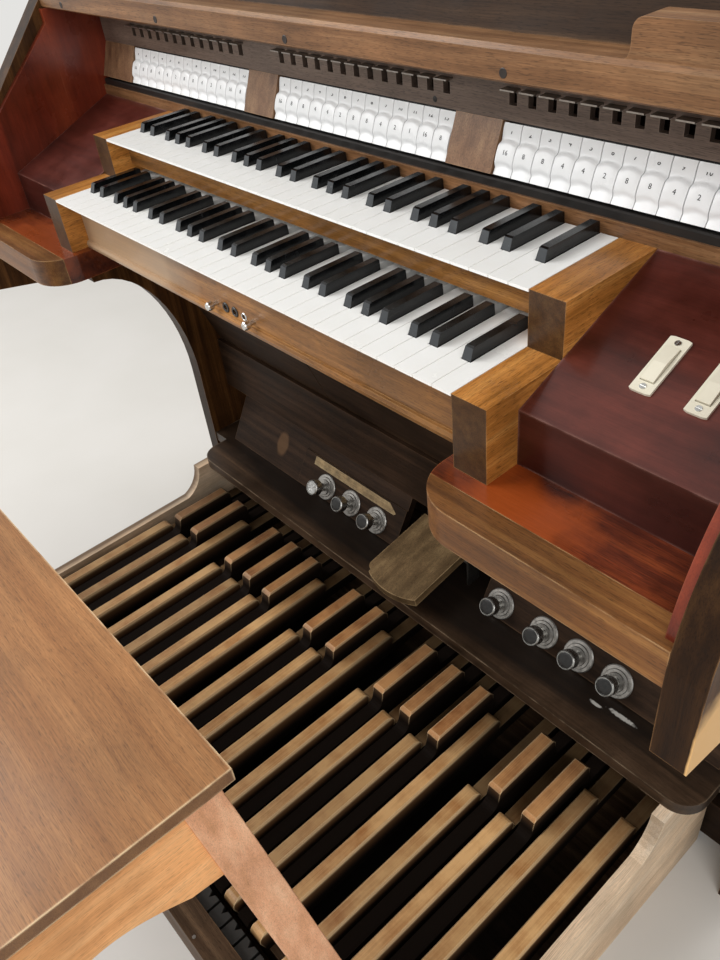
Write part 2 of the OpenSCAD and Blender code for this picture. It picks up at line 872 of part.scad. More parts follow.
knee_rail_y = toe_foot_y + toe_set - 13;
knee_rail_foot = ledge_z + toe_rise + eps;
knee_rail_top = knee_rail_foot + knee_rail_h;
knee_rail_t = 26;
knee_board_t = 14;
knee_seam_x = -277;
knee_seam = 3;

// A cross rail on the toe boards and, above it, two leaning boards that meet at a seam.
module knee_boards() {
    foot_y = knee_rail_y + 9;
    top_z = shelf_z - shelf_t - eps;
    top_y = foot_y - (top_z - knee_rail_top) * tan(knee_lean);
    spans = [[-inside_half + eps, knee_seam_x - knee_seam], [knee_seam_x, inside_half - eps]];
    color("saddlebrown") placed() {
        translate([-inside_half + eps, knee_rail_y, knee_rail_foot])
            cube([inside_w - 2 * eps, knee_rail_t, knee_rail_h]);
        for (span = spans)
            sideways(span[0], span[1] - span[0])
                polygon([
                    [foot_y, knee_rail_top - eps], [top_y, top_z],
                    [top_y + knee_board_t, top_z], [foot_y + knee_board_t, knee_rail_top - eps]
                ]);
    }
}

// Swell shoe

shoe_front = 181;
shoe_top_z = ledge_z + 45.5;
shoe_tilt = 10;
pivot_y = 330;
pivot_z = ledge_z + 42;
pivot_r = 6;
lug_w = 16;

// A plate on each side of the shoe, with the rod that it rocks on.
module shoe_bracket() {
    color("silver") placed() {
        for (side = [-1, 1])
            translate([shoe_x + side * (shoe_w / 2 + 8) - 2, pivot_y - 14, ledge_z + eps])
                cube([4, 28, pivot_z - ledge_z + 12]);
        translate([shoe_x - shoe_w / 2 - 9, pivot_y, pivot_z])
            rotate([0, 90, 0]) cylinder(h = shoe_w + 18, r = pivot_r);
    }
}

// Outline of the shoe's board: a bulging front edge, worn round at its bass corner.
module shoe_outline() {
    corner = 12;
    bulge_r = (shoe_w * shoe_w / 4 + shoe_bulge * shoe_bulge) / (2 * shoe_bulge);
    intersection() {
        translate([0, bulge_r]) circle(r = bulge_r, $fn = 240);
        union() {
            translate([-shoe_w / 2 + corner, 0]) square([shoe_w - corner, shoe_l]);
            translate([-shoe_w / 2, shoe_bulge + corner]) square([shoe_w, shoe_l - shoe_bulge - corner]);
            translate([-shoe_w / 2 + corner, shoe_bulge + corner]) circle(r = corner);
        }
    }
}

module swell_shoe() {
    color("peru") placed()
        difference() {
            union() {
                translate([shoe_x, shoe_front, shoe_top_z]) rotate([shoe_tilt, 0, 0])
                    translate([0, 0, -shoe_t]) linear_extrude(shoe_t) shoe_outline();
                for (side = [-1, 1])
                    translate([shoe_x + side * shoe_w / 4 - lug_w / 2, pivot_y - 12, pivot_z - 11])
                        cube([lug_w, 24, 24]);
            }
            translate([shoe_x - shoe_w / 2 - 1, pivot_y, pivot_z])
                rotate([0, 90, 0]) cylinder(h = shoe_w + 2, r = pivot_r + 0.08);
        }
}

// Pedalboard

pedal_sharp_places = [0.5, 1.5, 3.5, 4.5, 5.5, 7.5, 8.5, 10.5, 11.5, 12.5, 14.5, 15.5];
pedal_first = -(pedal_naturals_n - 1) * pedal_pitch / 2 - pedal_shift;
heel_y = -295;
short_toe = 76;
long_toe = 193;
tail_y = knee_depth + 44;
pedal_foot = pedal_z - pedal_h;
stem_drop = 12;
rail_foot_h = 40;
bottom_board_t = 6;

// A natural pedal: a bar with a bevelled top, a rounded nose and toe and a lower tail.
module pedal_natural(x, toe_y) {
    bevel = 3;
    translate([x, 0, 0])
        intersection() {
            sideways(-pedal_w, 2 * pedal_w)
                polygon(concat(
                    [[heel_y + 8, pedal_foot], [tail_y, pedal_foot], [tail_y, pedal_z - 24], [toe_y - 4, pedal_z - 24]],
                    arc([toe_y - 14, pedal_z - 14], 14, -20, 90, 5),
                    arc([heel_y + 16, pedal_z - 16], 16, 90, 180, 5)
                ));
            translate([0, tail_y + 1, 0]) rotate([90, 0, 0]) linear_extrude(tail_y - heel_y + 2)
                polygon([
                    [-pedal_w / 2, 0], [pedal_w / 2, 0], [pedal_w / 2, pedal_z - bevel],
                    [pedal_w / 2 - bevel, pedal_z + 1], [-pedal_w / 2 + bevel, pedal_z + 1],
                    [-pedal_w / 2, pedal_z - bevel]
                ]);
        }
}

block_front = 85;
block_top = pedal_z + block_rise;

// A sharp pedal: a low stem that sweeps up to a raised block.
module pedal_sharp(x) {
    bevel = 2.5;
    stem_top = pedal_z - stem_drop;
    sweep_r = 16;
    translate([x, 0, 0])
        intersection() {
            sideways(-pedal_w, 2 * pedal_w)
                polygon(concat(
                    [[heel_y + 8, pedal_foot], [tail_y, pedal_foot], [tail_y, pedal_z - 24],
                     [block_front + block_l + 4, pedal_z - 24], [block_front + block_l + 4, block_top - 10],
                     [block_front + block_l - 4, block_top], [block_front + 3, block_top],
                     [block_front - 3, block_top - 5]],
                    arc([block_front - 6 - sweep_r, stem_top + sweep_r], sweep_r, 0, -90, 5),
                    [[heel_y + 4, stem_top], [heel_y, stem_top - 6]]
                ));
            translate([0, tail_y + 1, 0]) rotate([90, 0, 0]) linear_extrude(tail_y - heel_y + 2)
                polygon([
                    [-pedal_w / 2, 0], [pedal_w / 2, 0], [pedal_w / 2, block_top - bevel],
                    [pedal_w / 2 - bevel, block_top + 1], [-pedal_w / 2 + bevel, block_top + 1],
                    [-pedal_w / 2, block_top - bevel]
                ]);
        }
}

module pedal_naturals() {
    color("burlywood") placed()
        for (i = [0 : pedal_naturals_n - 1]) {
            beside_sharp = len(search(i + 0.5, pedal_sharp_places)) > 0;
            pedal_natural(pedal_first + i * pedal_pitch, beside_sharp ? short_toe : long_toe);
        }
}

module pedal_sharps() {
    color("sienna") placed()
        for (place = pedal_sharp_places) pedal_sharp(pedal_first + place * pedal_pitch);
}

strip_back = heel_y - 6;
heel_board_y = heel_y - 30;
heel_board_t = 38;

module pedal_cheeks() {
    outline = concat(
        [[heel_board_y - heel_board_t, 0], [tail_y + 10, 0], [tail_y + 10, ledge_z - ledge_t - eps],
         [ledge_front - 20, ledge_z - ledge_t - eps]],
        arc([ledge_front - 20 - 64, ledge_z - ledge_t], 64, -4, -68, 7),
        [[heel_board_y - heel_board_t + 14, pedal_z - 2], [heel_board_y - heel_board_t, pedal_z - 14]]
    );
    color("tan") placed() translate([-pedal_shift, 0, 0]) both_sides()
        sideways(pedal_inner_half, pedal_cheek_t) polygon(outline);
}

// The cross rails that carry the pedals, a thin board under them and the board behind the heels.
module pedal_rails() {
    span = 2 * pedal_inner_half - 2 * eps;
    x0 = -pedal_inner_half + eps - pedal_shift;
    color("saddlebrown") placed() {
        translate([x0, heel_y + 10, rail_foot_h]) cube([span, 44, pedal_foot - rail_foot_h - seat]);
        translate([x0, tail_y - 40, rail_foot_h]) cube([span, 34, pedal_foot - rail_foot_h - seat]);
        translate([x0, heel_board_y - heel_board_t, 0]) cube([span, heel_board_t, pedal_z - 7]);
        translate([x0, heel_board_y - eps, rail_foot_h - bottom_board_t])
            cube([span, tail_y - heel_board_y, bottom_board_t + eps]);
    }
}

strip_foot = rail_foot_h + 20;
strip_drop = 18;

module heel_strip() {
    color("black") placed()
        translate([-pedal_inner_half + eps - pedal_shift, heel_board_y + eps, strip_foot])
            cube([2 * pedal_inner_half - 2 * eps, strip_back - heel_board_y, pedal_z - strip_drop - strip_foot]);
}

// Bench

bench_foot_w = 36;
bench_arch = 18;
bench_shoulder_w = 26;
bench_apron_h = 64;
bench_under = bench_z - bench_t - eps;

module bench_top() {
    color("sienna") placed()
        translate([-pedal_shift - bench_l / 2, bench_front - bench_d, bench_z - bench_t])
            cube([bench_l, bench_d, bench_t]);
}

// An end in its own plane: depth from the middle, and distance down the slant.
module bench_end_outline() {
    outer = bench_d / 2 - bench_inset;
    splay = tan(leg_splay);
    above = 20;
    foot = bench_slant + above;
    arch_half = outer - bench_leg_w - bench_shoulder_w;
    shoulder = bench_apron_h + bench_arch + 3.5;
    half = concat(
        [[outer - above * splay, -above], [outer + foot * splay, foot],
         [outer + foot * splay - bench_foot_w, foot], [outer - bench_leg_w + shoulder * splay, shoulder]],
        [for (i = [8 : -1 : 1]) [arch_half * i / 8, bench_apron_h + bench_arch * (1 - cos(90 * i / 8))]]
    );
    polygon(concat(
        half, [[0, bench_apron_h]], [for (i = [len(half) - 1 : -1 : 0]) [-half[i][0], half[i][1]]]
    ));
}

// One end of the bench, raked outwards: two splayed legs joined by an apron with an arched lower edge.
module bench_end() {
    intersection() {
        translate([bench_l / 2 - bench_overhang, bench_mid_y, bench_under])
            rotate([0, 90 - bench_rake, 0]) rotate([0, 0, -90])
                translate([0, 0, -bench_end_t]) linear_extrude(bench_end_t) bench_end_outline();
        translate([0, bench_mid_y - 2 * bench_d, 0]) cube([2 * bench_l, 4 * bench_d, bench_under]);
    }
}

module bench_frame() {
    rail_t = 20;
    rail_h = 60;
    inner = bench_l / 2 - bench_overhang - bench_end_t / cos(bench_rake) + 1;
    color("peru") placed() translate([-pedal_shift, 0, 0]) {
        both_sides() bench_end();
        translate([0, bench_mid_y + rail_t / 2, bench_under]) rotate([90, 0, 0]) linear_extrude(rail_t)
            polygon([
                [-inner, 0], [-inner - rail_h * tan(bench_rake), -rail_h],
                [inner + rail_h * tan(bench_rake), -rail_h], [inner, 0]
            ]);
    }
}

end_panels();
side_linings();
back_panel();
plinth();
top_board();
music_desk();
desk_ledges();
fascia_board();
slot_panel();
setter_levers();
tab_posts();
tab_recess();
tab_rail();
stop_tabs();
upper_naturals();
upper_sharps();
lower_naturals();
lower_sharps();
key_slips();
key_frames();
key_cheeks();
side_shelves();
shelf_lippings();
side_boxes();
switch_plates();
inner_rocker();
outer_rocker();
knee_boards();
toe_boards();
toe_ledge();
piston_rosettes();
shoe_bracket();
swell_shoe();
toe_piston_1();
toe_piston_2();
toe_piston_3();
toe_piston_4();
toe_piston_5();
toe_piston_6();
toe_piston_7();
thumb_piston_1();
thumb_piston_2();
pedal_cheeks();
pedal_rails();
heel_strip();
pedal_naturals();
pedal_sharps();
bench_top();
bench_frame();
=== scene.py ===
"""Dresses a two-manual organ console: finishes on its solids, and the pieces that the solids leave out.

Lengths are in millimetres unless a name ends in _m. Places are given as on the console itself: X from
the middle of the lower manual, Y back from its front edge, Z up from the floor.
"""

import json
import logging
import math
from dataclasses import dataclass, field
from enum import Enum
from typing import Iterable, Optional, Sequence, Union

import bmesh
import bpy
from mathutils import Matrix, Vector

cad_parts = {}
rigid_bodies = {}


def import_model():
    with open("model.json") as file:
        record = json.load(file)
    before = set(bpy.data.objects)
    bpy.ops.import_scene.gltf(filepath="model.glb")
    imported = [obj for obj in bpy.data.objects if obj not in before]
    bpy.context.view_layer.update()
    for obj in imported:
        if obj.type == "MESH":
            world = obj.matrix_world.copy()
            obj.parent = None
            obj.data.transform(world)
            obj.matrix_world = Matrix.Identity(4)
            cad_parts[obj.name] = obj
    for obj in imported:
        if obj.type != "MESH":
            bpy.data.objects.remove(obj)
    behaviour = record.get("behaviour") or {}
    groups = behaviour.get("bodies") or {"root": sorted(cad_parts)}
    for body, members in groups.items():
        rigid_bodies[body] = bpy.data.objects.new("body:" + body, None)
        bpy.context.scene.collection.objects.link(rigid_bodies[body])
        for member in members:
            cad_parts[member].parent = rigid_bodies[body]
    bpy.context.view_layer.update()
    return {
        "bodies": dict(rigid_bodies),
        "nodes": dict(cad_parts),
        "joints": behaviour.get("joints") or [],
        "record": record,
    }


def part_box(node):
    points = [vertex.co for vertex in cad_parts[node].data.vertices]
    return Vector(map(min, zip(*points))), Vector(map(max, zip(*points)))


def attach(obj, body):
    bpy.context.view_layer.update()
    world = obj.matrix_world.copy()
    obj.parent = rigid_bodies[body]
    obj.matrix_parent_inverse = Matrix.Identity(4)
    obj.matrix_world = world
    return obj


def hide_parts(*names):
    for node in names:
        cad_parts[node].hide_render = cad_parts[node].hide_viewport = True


LOG = logging.getLogger("organ_console")
MM = 0.001
CONSOLE = "console"
MANUAL_HEIGHT = 940.0
# The foot of the toe boards' front on the console, and their lean from upright in degrees.
TOE_FOOT = (0.0, 290.0, 255.0)
TOE_LEAN = 30.0
# Levels between which most of a random pattern lies.
LOW, HIGH = 0.3, 0.7

Colour = tuple[float, float, float, float]
Point = tuple[float, float, float]
Flat = tuple[float, float]


# Tools


def linear(hex_colour: str, alpha: float = 1.0) -> Colour:
    """Turns an sRGB hex value into linear light.

    Args:
        hex_colour: six hex digits after a hash sign.
        alpha: the fourth value of the colour.

    Returns:
        The colour as four linear values.
    """
    def channel(value: float) -> float:
        """One channel from sRGB to linear."""
        return value / 12.92 if value <= 0.04045 else ((value + 0.055) / 1.055) ** 2.4

    digits = hex_colour.lstrip("#")
    red, green, blue = (channel(int(digits[i:i + 2], 16) / 255) for i in (0, 2, 4))
    return red, green, blue, alpha


def add(tree: bpy.types.NodeTree, kind: str, values: Optional[dict] = None,
        links: Optional[dict] = None, **settings: object) -> bpy.types.Node:
    """Adds one node with its settings, socket values and links.

    Args:
        tree: the tree that takes the node.
        kind: the node's class name in Blender.
        values: socket name or number to constant value.
        links: socket name or number to the output socket that feeds it.
        settings: attributes of the node.

    Returns:
        The new node.
    """
    node = tree.nodes.new(kind)
    for name, value in settings.items():
        setattr(node, name, value)
    for socket, value in (values or {}).items():
        node.inputs[socket].default_value = value
    for socket, source in (links or {}).items():
        tree.links.new(source, node.inputs[socket])
    return node


def new_tree(name: str) -> tuple[bpy.types.Material, bpy.types.NodeTree]:
    """Makes a material with an empty tree.

    Args:
        name: the material's name.

    Returns:
        The material and its tree.
    """
    mat = bpy.data.materials.new(name)
    mat.use_nodes = True
    mat.node_tree.nodes.clear()
    return mat, mat.node_tree


def ramp(tree: bpy.types.NodeTree, source: bpy.types.NodeSocket,
         stops: Sequence[tuple[float, Colour]]) -> bpy.types.NodeSocket:
    """Turns a value into a colour.

    Args:
        tree: the tree that takes the ramp.
        source: the value.
        stops: position and colour of each stop, in order.

    Returns:
        The colour.
    """
    node = add(tree, "ShaderNodeValToRGB", None, {"Fac": source})
    elements = node.color_ramp.elements
    while len(elements) < len(stops):
        elements.new(1.0)
    for element, (place, colour) in zip(elements, stops):
        element.position = place
        element.color = colour
    return node.outputs["Color"]


def remap(tree: bpy.types.NodeTree, source: bpy.types.NodeSocket, start: float, end: float,
          low: float = 0.0, high: float = 1.0) -> bpy.types.NodeSocket:
    """Turns a value between two marks into another between two levels.

    Args:
        tree: the tree that takes the node.
        source: the value.
        start: mark for the low level.
        end: mark for the high level.
        low: the low level.
        high: the high level.

    Returns:
        The new value.
    """
    return add(tree, "ShaderNodeMapRange",
               {"From Min": start, "From Max": end, "To Min": low, "To Max": high},
               {"Value": source}).outputs["Result"]


def clouds(tree: bpy.types.NodeTree, place: bpy.types.NodeSocket, size_mm: float,
           detail: float, roughness: float = 0.5) -> bpy.types.NodeSocket:
    """Makes a random pattern, the same in each direction.

    Args:
        tree: the tree that takes the pattern.
        place: the coordinates.
        size_mm: size of its largest forms.
        detail: how many finer patterns lie on it.
        roughness: how strong the finer patterns are.

    Returns:
        The pattern's value.
    """
    return add(tree, "ShaderNodeTexNoise",
               {"Scale": 1.0 / (size_mm * MM), "Detail": detail, "Roughness": roughness},
               {"Vector": place}).outputs["Fac"]


def maths(tree: bpy.types.NodeTree, operation: str,
          *terms: Union[float, bpy.types.NodeSocket]) -> bpy.types.NodeSocket:
    """Works out a value from others.

    Args:
        tree: the tree that takes the node.
        operation: the name of the operation.
        terms: numbers and values, in the operation's order.

    Returns:
        The value.
    """
    values = {i: term for i, term in enumerate(terms) if isinstance(term, float)}
    links = {i: term for i, term in enumerate(terms) if i not in values}
    return add(tree, "ShaderNodeMath", values, links, operation=operation).outputs["Value"]


def shade(tree: bpy.types.NodeTree, colour: bpy.types.NodeSocket,
          tone: bpy.types.NodeSocket) -> bpy.types.NodeSocket:
    """Makes a colour darker or brighter by a factor."""
    return add(tree, "ShaderNodeVectorMath", None, {0: colour, "Scale": tone},
               operation="SCALE").outputs["Vector"]


def cover(tree: bpy.types.NodeTree, share: bpy.types.NodeSocket,
          under: Union[Colour, bpy.types.NodeSocket],
          over: Union[Colour, bpy.types.NodeSocket]) -> bpy.types.NodeSocket:
    """Lays one colour over another.

    Args:
        tree: the tree that takes the node.
        share: how much of the upper colour shows.
        under: the lower colour.
        over: the upper colour.

    Returns:
        The colour.
    """
    colours = {6: under, 7: over}
    values = {socket: colour for socket, colour in colours.items() if isinstance(colour, tuple)}
    links = {socket: colour for socket, colour in colours.items() if socket not in values}
    return add(tree, "ShaderNodeMix", values, {0: share, **links}, data_type="RGBA").outputs[2]


def arris_turn(tree: bpy.types.NodeTree, flat: bpy.types.Node,
               radius_mm: float) -> tuple[bpy.types.NodeSocket, bpy.types.NodeSocket]:
    """Finds the arrises of a piece.

    Args:
        tree: the tree that takes the nodes.
        flat: the geometry node.
        radius_mm: how far an arris reaches.

    Returns:
        The rounded normal, and a value of 1 on flat parts that falls towards the arrises.
    """
    soft = add(tree, "ShaderNodeBevel", {"Radius": radius_mm * MM}, samples=4).outputs["Normal"]
    turn = add(tree, "ShaderNodeVectorMath", None, {0: soft, 1: flat.outputs["Normal"]},
               operation="DOT_PRODUCT")
    return soft, turn.outputs["Value"]


def surface(tree: bpy.types.NodeTree, values: dict, links: dict) -> None:
    """Ends a tree with a surface.

    Args:
        tree: the tree.
        values: constants of the surface.
        links: what feeds its other sockets.
    """
    shader = add(tree, "ShaderNodeBsdfPrincipled", values, links)
    add(tree, "ShaderNodeOutputMaterial", None, {"Surface": shader.outputs["BSDF"]})


@dataclass(frozen=True)
class Site:
    """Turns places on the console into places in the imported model."""

    origin: Vector

    @classmethod
    def of_keys(cls) -> "Site":
        """Finds the console's own origin from the lower manual's naturals."""
        low, high = (Vector(corner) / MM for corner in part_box("lower_naturals"))
        return cls(Vector(((low.x + high.x) / 2, low.y, high.z - MANUAL_HEIGHT)))

    def at(self, x: float, y: float, z: float) -> Vector:
        """A place on the console, in metres of the model."""
        return (self.origin + Vector((x, y, z))) * MM

    def stand(self, x: float, y: float, z: float, tilt_deg: float = 0.0) -> Matrix:
        """Axes at a place, turned about X.

        Args:
            x, y, z: the place on the console.
            tilt_deg: turn about X, from flat.

        Returns:
            A matrix that takes millimetres on those axes to metres in the model.
        """
        turn = Matrix.Rotation(math.radians(tilt_deg), 4, "X")
        return Matrix.Translation(self.at(x, y, z)) @ turn @ Matrix.Scale(MM, 4)


class Grain(Enum):
    """The direction in which a board's grain runs."""

    ALONG_X = 0
    ALONG_Y = 1
    ALONG_Z = 2

    def stretch(self, length_mm: float, width_mm: float) -> Vector:
        """Scale of object coordinates for a pattern of that length and width.

        Args:
            length_mm: size of the pattern along the grain.
            width_mm: size of the pattern across the grain.

        Returns:
            The scale for each axis.
        """
        scale = Vector((1.0, 1.0, 1.0)) / (width_mm * MM)
        scale[self.value] = 1.0 / (length_mm * MM)
        return scale

    def streaks(self, tree: bpy.types.NodeTree, place: bpy.types.NodeSocket, length_mm: float,
                width_mm: float, detail: float, roughness: float = 0.6) -> bpy.types.NodeSocket:
        """Makes a random pattern of streaks along the grain.

        Args:
            tree: the tree that takes the pattern.
            place: the coordinates.
            length_mm: length of a streak.
            width_mm: width of a streak.
            detail: how many finer patterns lie on it.
            roughness: how strong the finer patterns are.

        Returns:
            The pattern's value.
        """
        along = add(tree, "ShaderNodeVectorMath", {1: self.stretch(length_mm, width_mm)},
                    {0: place}, operation="MULTIPLY")
        return add(tree, "ShaderNodeTexNoise",
                   {"Scale": 1.0, "Detail": detail, "Roughness": roughness},
                   {"Vector": along.outputs["Vector"]}).outputs["Fac"]


# Finishes


@dataclass(frozen=True)
class Spot:
    """A patch of another colour on a finish, with a ragged edge."""

    centre: Point
    reach: Point
    colour: str
    amount: float
    ragged: float = 0.5
    ragged_mm: float = 12.0


@dataclass(frozen=True)
class Wood:
    """Sawn and planed solid wood under an old hand-rubbed varnish.

    The eye sees a quiet figure with short dark pores along the grain, darker end grain, clouds where
    the varnish has faded or taken dirt, arrises rubbed paler by hands and knees and, where asked,
    painted shade on the faces towards the player.
    """

    name: str
    dark: str
    middle: str
    pale: str
    grain: Grain
    figure_mm: float = 13.0
    figure_length_mm: float = 420.0
    fibre_amount: float = 0.2
    # Oak's pores are about 0.3 mm wide and its fibres finer. Both are drawn coarser, to show.
    pore_mm: float = 0.8
    pore_length_mm: float = 9.0
    pore_depth: float = 0.4
    roughness: float = 0.42
    coat: float = 0.12
    specular: float = 0.25
    rub: str = "#B58A5C"
    rub_amount: float = 0.6
    rub_mm: float = 2.0
    cloud_mm: float = 150.0
    cloud_amount: float = 0.25
    end_tone: float = 0.6
    painted_front_shade: float = 1.0
    bump_mm: float = 0.1
    spots: tuple[Spot, ...] = ()
    bend_mm: float = 240.0
    bend_by_mm: float = 12.0
    # Coarser than real fibres, as above.
    fibre_mm: float = 0.9
    fibre_length_mm: float = 70.0
    rub_run_mm: float = 34.0
    coat_roughness: float = 0.18

    def material(self, site: Site) -> bpy.types.Material:
        """Builds the material.

        Args:
            site: where the console stands in the model.

        Returns:
            The material.
        """
        mat, tree = new_tree(self.name)
        place = add(tree, "ShaderNodeTexCoord").outputs["Object"]
        flat = add(tree, "ShaderNodeNewGeometry")
        cloud = clouds(tree, place, self.cloud_mm, 5.0, 0.6)
        colour, pores = self.grained(tree, place, flat, cloud)
        # Hands and knees rub the varnish off the arrises in uneven runs.
        edge = remap(tree, arris_turn(tree, flat, self.rub_mm)[1], 0.995, 0.86)
        uneven = remap(tree, clouds(tree, place, self.rub_run_mm, 3.0), 0.38, 0.6, 0.1,
                       self.rub_amount)
        colour = cover(tree, maths(tree, "MULTIPLY", edge, uneven), colour, linear(self.rub))
        for spot in self.spots:
            colour = self.lay_spot(tree, spot, site, place, colour)
        rough = remap(tree, cloud, LOW, HIGH, self.roughness - 0.07, self.roughness + 0.14)
        relief = add(tree, "ShaderNodeBump", {"Strength": 0.5, "Distance": self.bump_mm * MM},
                     {"Height": pores}, invert=True)
        surface(tree, {"Coat Weight": self.coat, "Coat Roughness": self.coat_roughness,
                       "IOR": 1.5, "Specular IOR Level": self.specular},
                {"Base Color": colour, "Roughness": rough, "Normal": relief.outputs["Normal"]})
        return mat

    def grained(self, tree: bpy.types.NodeTree, place: bpy.types.NodeSocket, flat: bpy.types.Node,
                cloud: bpy.types.NodeSocket) -> tuple[bpy.types.NodeSocket, bpy.types.NodeSocket]:
        """Makes the wood's own colour.

        Args:
            tree: the material's tree.
            place: the coordinates.
            flat: the geometry node.
            cloud: the pattern of faded and dirty places.

        Returns:
            The colour, and the pattern of the pores.
        """
        bend = add(tree, "ShaderNodeTexNoise", {"Scale": 1.0 / (self.bend_mm * MM), "Detail": 2.0},
                   {"Vector": place})
        shift = add(tree, "ShaderNodeVectorMath", {"Scale": self.bend_by_mm * MM},
                    {0: bend.outputs["Color"]}, operation="SCALE")
        moved = add(tree, "ShaderNodeVectorMath", None, {0: place, 1: shift.outputs["Vector"]},
                    operation="ADD").outputs["Vector"]
        figure = self.grain.streaks(tree, moved, self.figure_length_mm, self.figure_mm, 4.0)
        fibres = self.grain.streaks(tree, moved, self.fibre_length_mm, self.fibre_mm, 2.0)
        pores = self.grain.streaks(tree, moved, self.pore_length_mm, self.pore_mm, 1.0)
        colour = ramp(tree, figure, [(0.28, linear(self.dark)), (0.5, linear(self.middle)),
                                     (0.72, linear(self.pale))])
        # End grain drinks more stain and looks darker; faces towards the player get painted shade.
        axes = add(tree, "ShaderNodeSeparateXYZ", None, {"Vector": flat.outputs["Normal"]})
        ends = maths(tree, "ABSOLUTE", axes.outputs[self.grain.value])
        tones = (
            remap(tree, cloud, LOW, HIGH, 1.0 - self.cloud_amount, 1.0 + self.cloud_amount),
            remap(tree, fibres, LOW, HIGH, 1.0 - self.fibre_amount, 1.0 + self.fibre_amount),
            remap(tree, pores, 0.56, 0.68, 1.0, 1.0 - self.pore_depth),
            remap(tree, ends, 0.6, 0.9, 1.0, self.end_tone),
            remap(tree, axes.outputs["Y"], -0.5, -0.8, 1.0, self.painted_front_shade))
        for tone in tones:
            colour = shade(tree, colour, tone)
        return colour, pores

    def lay_spot(self, tree: bpy.types.NodeTree, spot: Spot, site: Site,
                 place: bpy.types.NodeSocket,
                 under: bpy.types.NodeSocket) -> bpy.types.NodeSocket:
        """Lays a patch of another colour over the wood.

        Args:
            tree: the material's tree.
            spot: the patch.
            site: where the console stands in the model.
            place: the coordinates.
            under: the colour below it.

        Returns:
            The colour with the patch on it.
        """
        away = add(tree, "ShaderNodeVectorMath", {1: site.at(*spot.centre)}, {0: place},
                   operation="SUBTRACT")
        scaled = add(tree, "ShaderNodeVectorMath",
                     {1: Vector([1.0 / (reach * MM) for reach in spot.reach])},
                     {0: away.outputs["Vector"]}, operation="MULTIPLY")
        distance = add(tree, "ShaderNodeVectorMath", None, {0: scaled.outputs["Vector"]},
                       operation="LENGTH").outputs["Value"]
        ragged = maths(tree, "MULTIPLY_ADD", clouds(tree, place, spot.ragged_mm, 4.0),
                       spot.ragged * 2, distance)
        share = remap(tree, ragged, 1.0 + spot.ragged, 0.75 + spot.ragged * 0.75, 0.0, spot.amount)
        return cover(tree, share, under, linear(spot.colour))


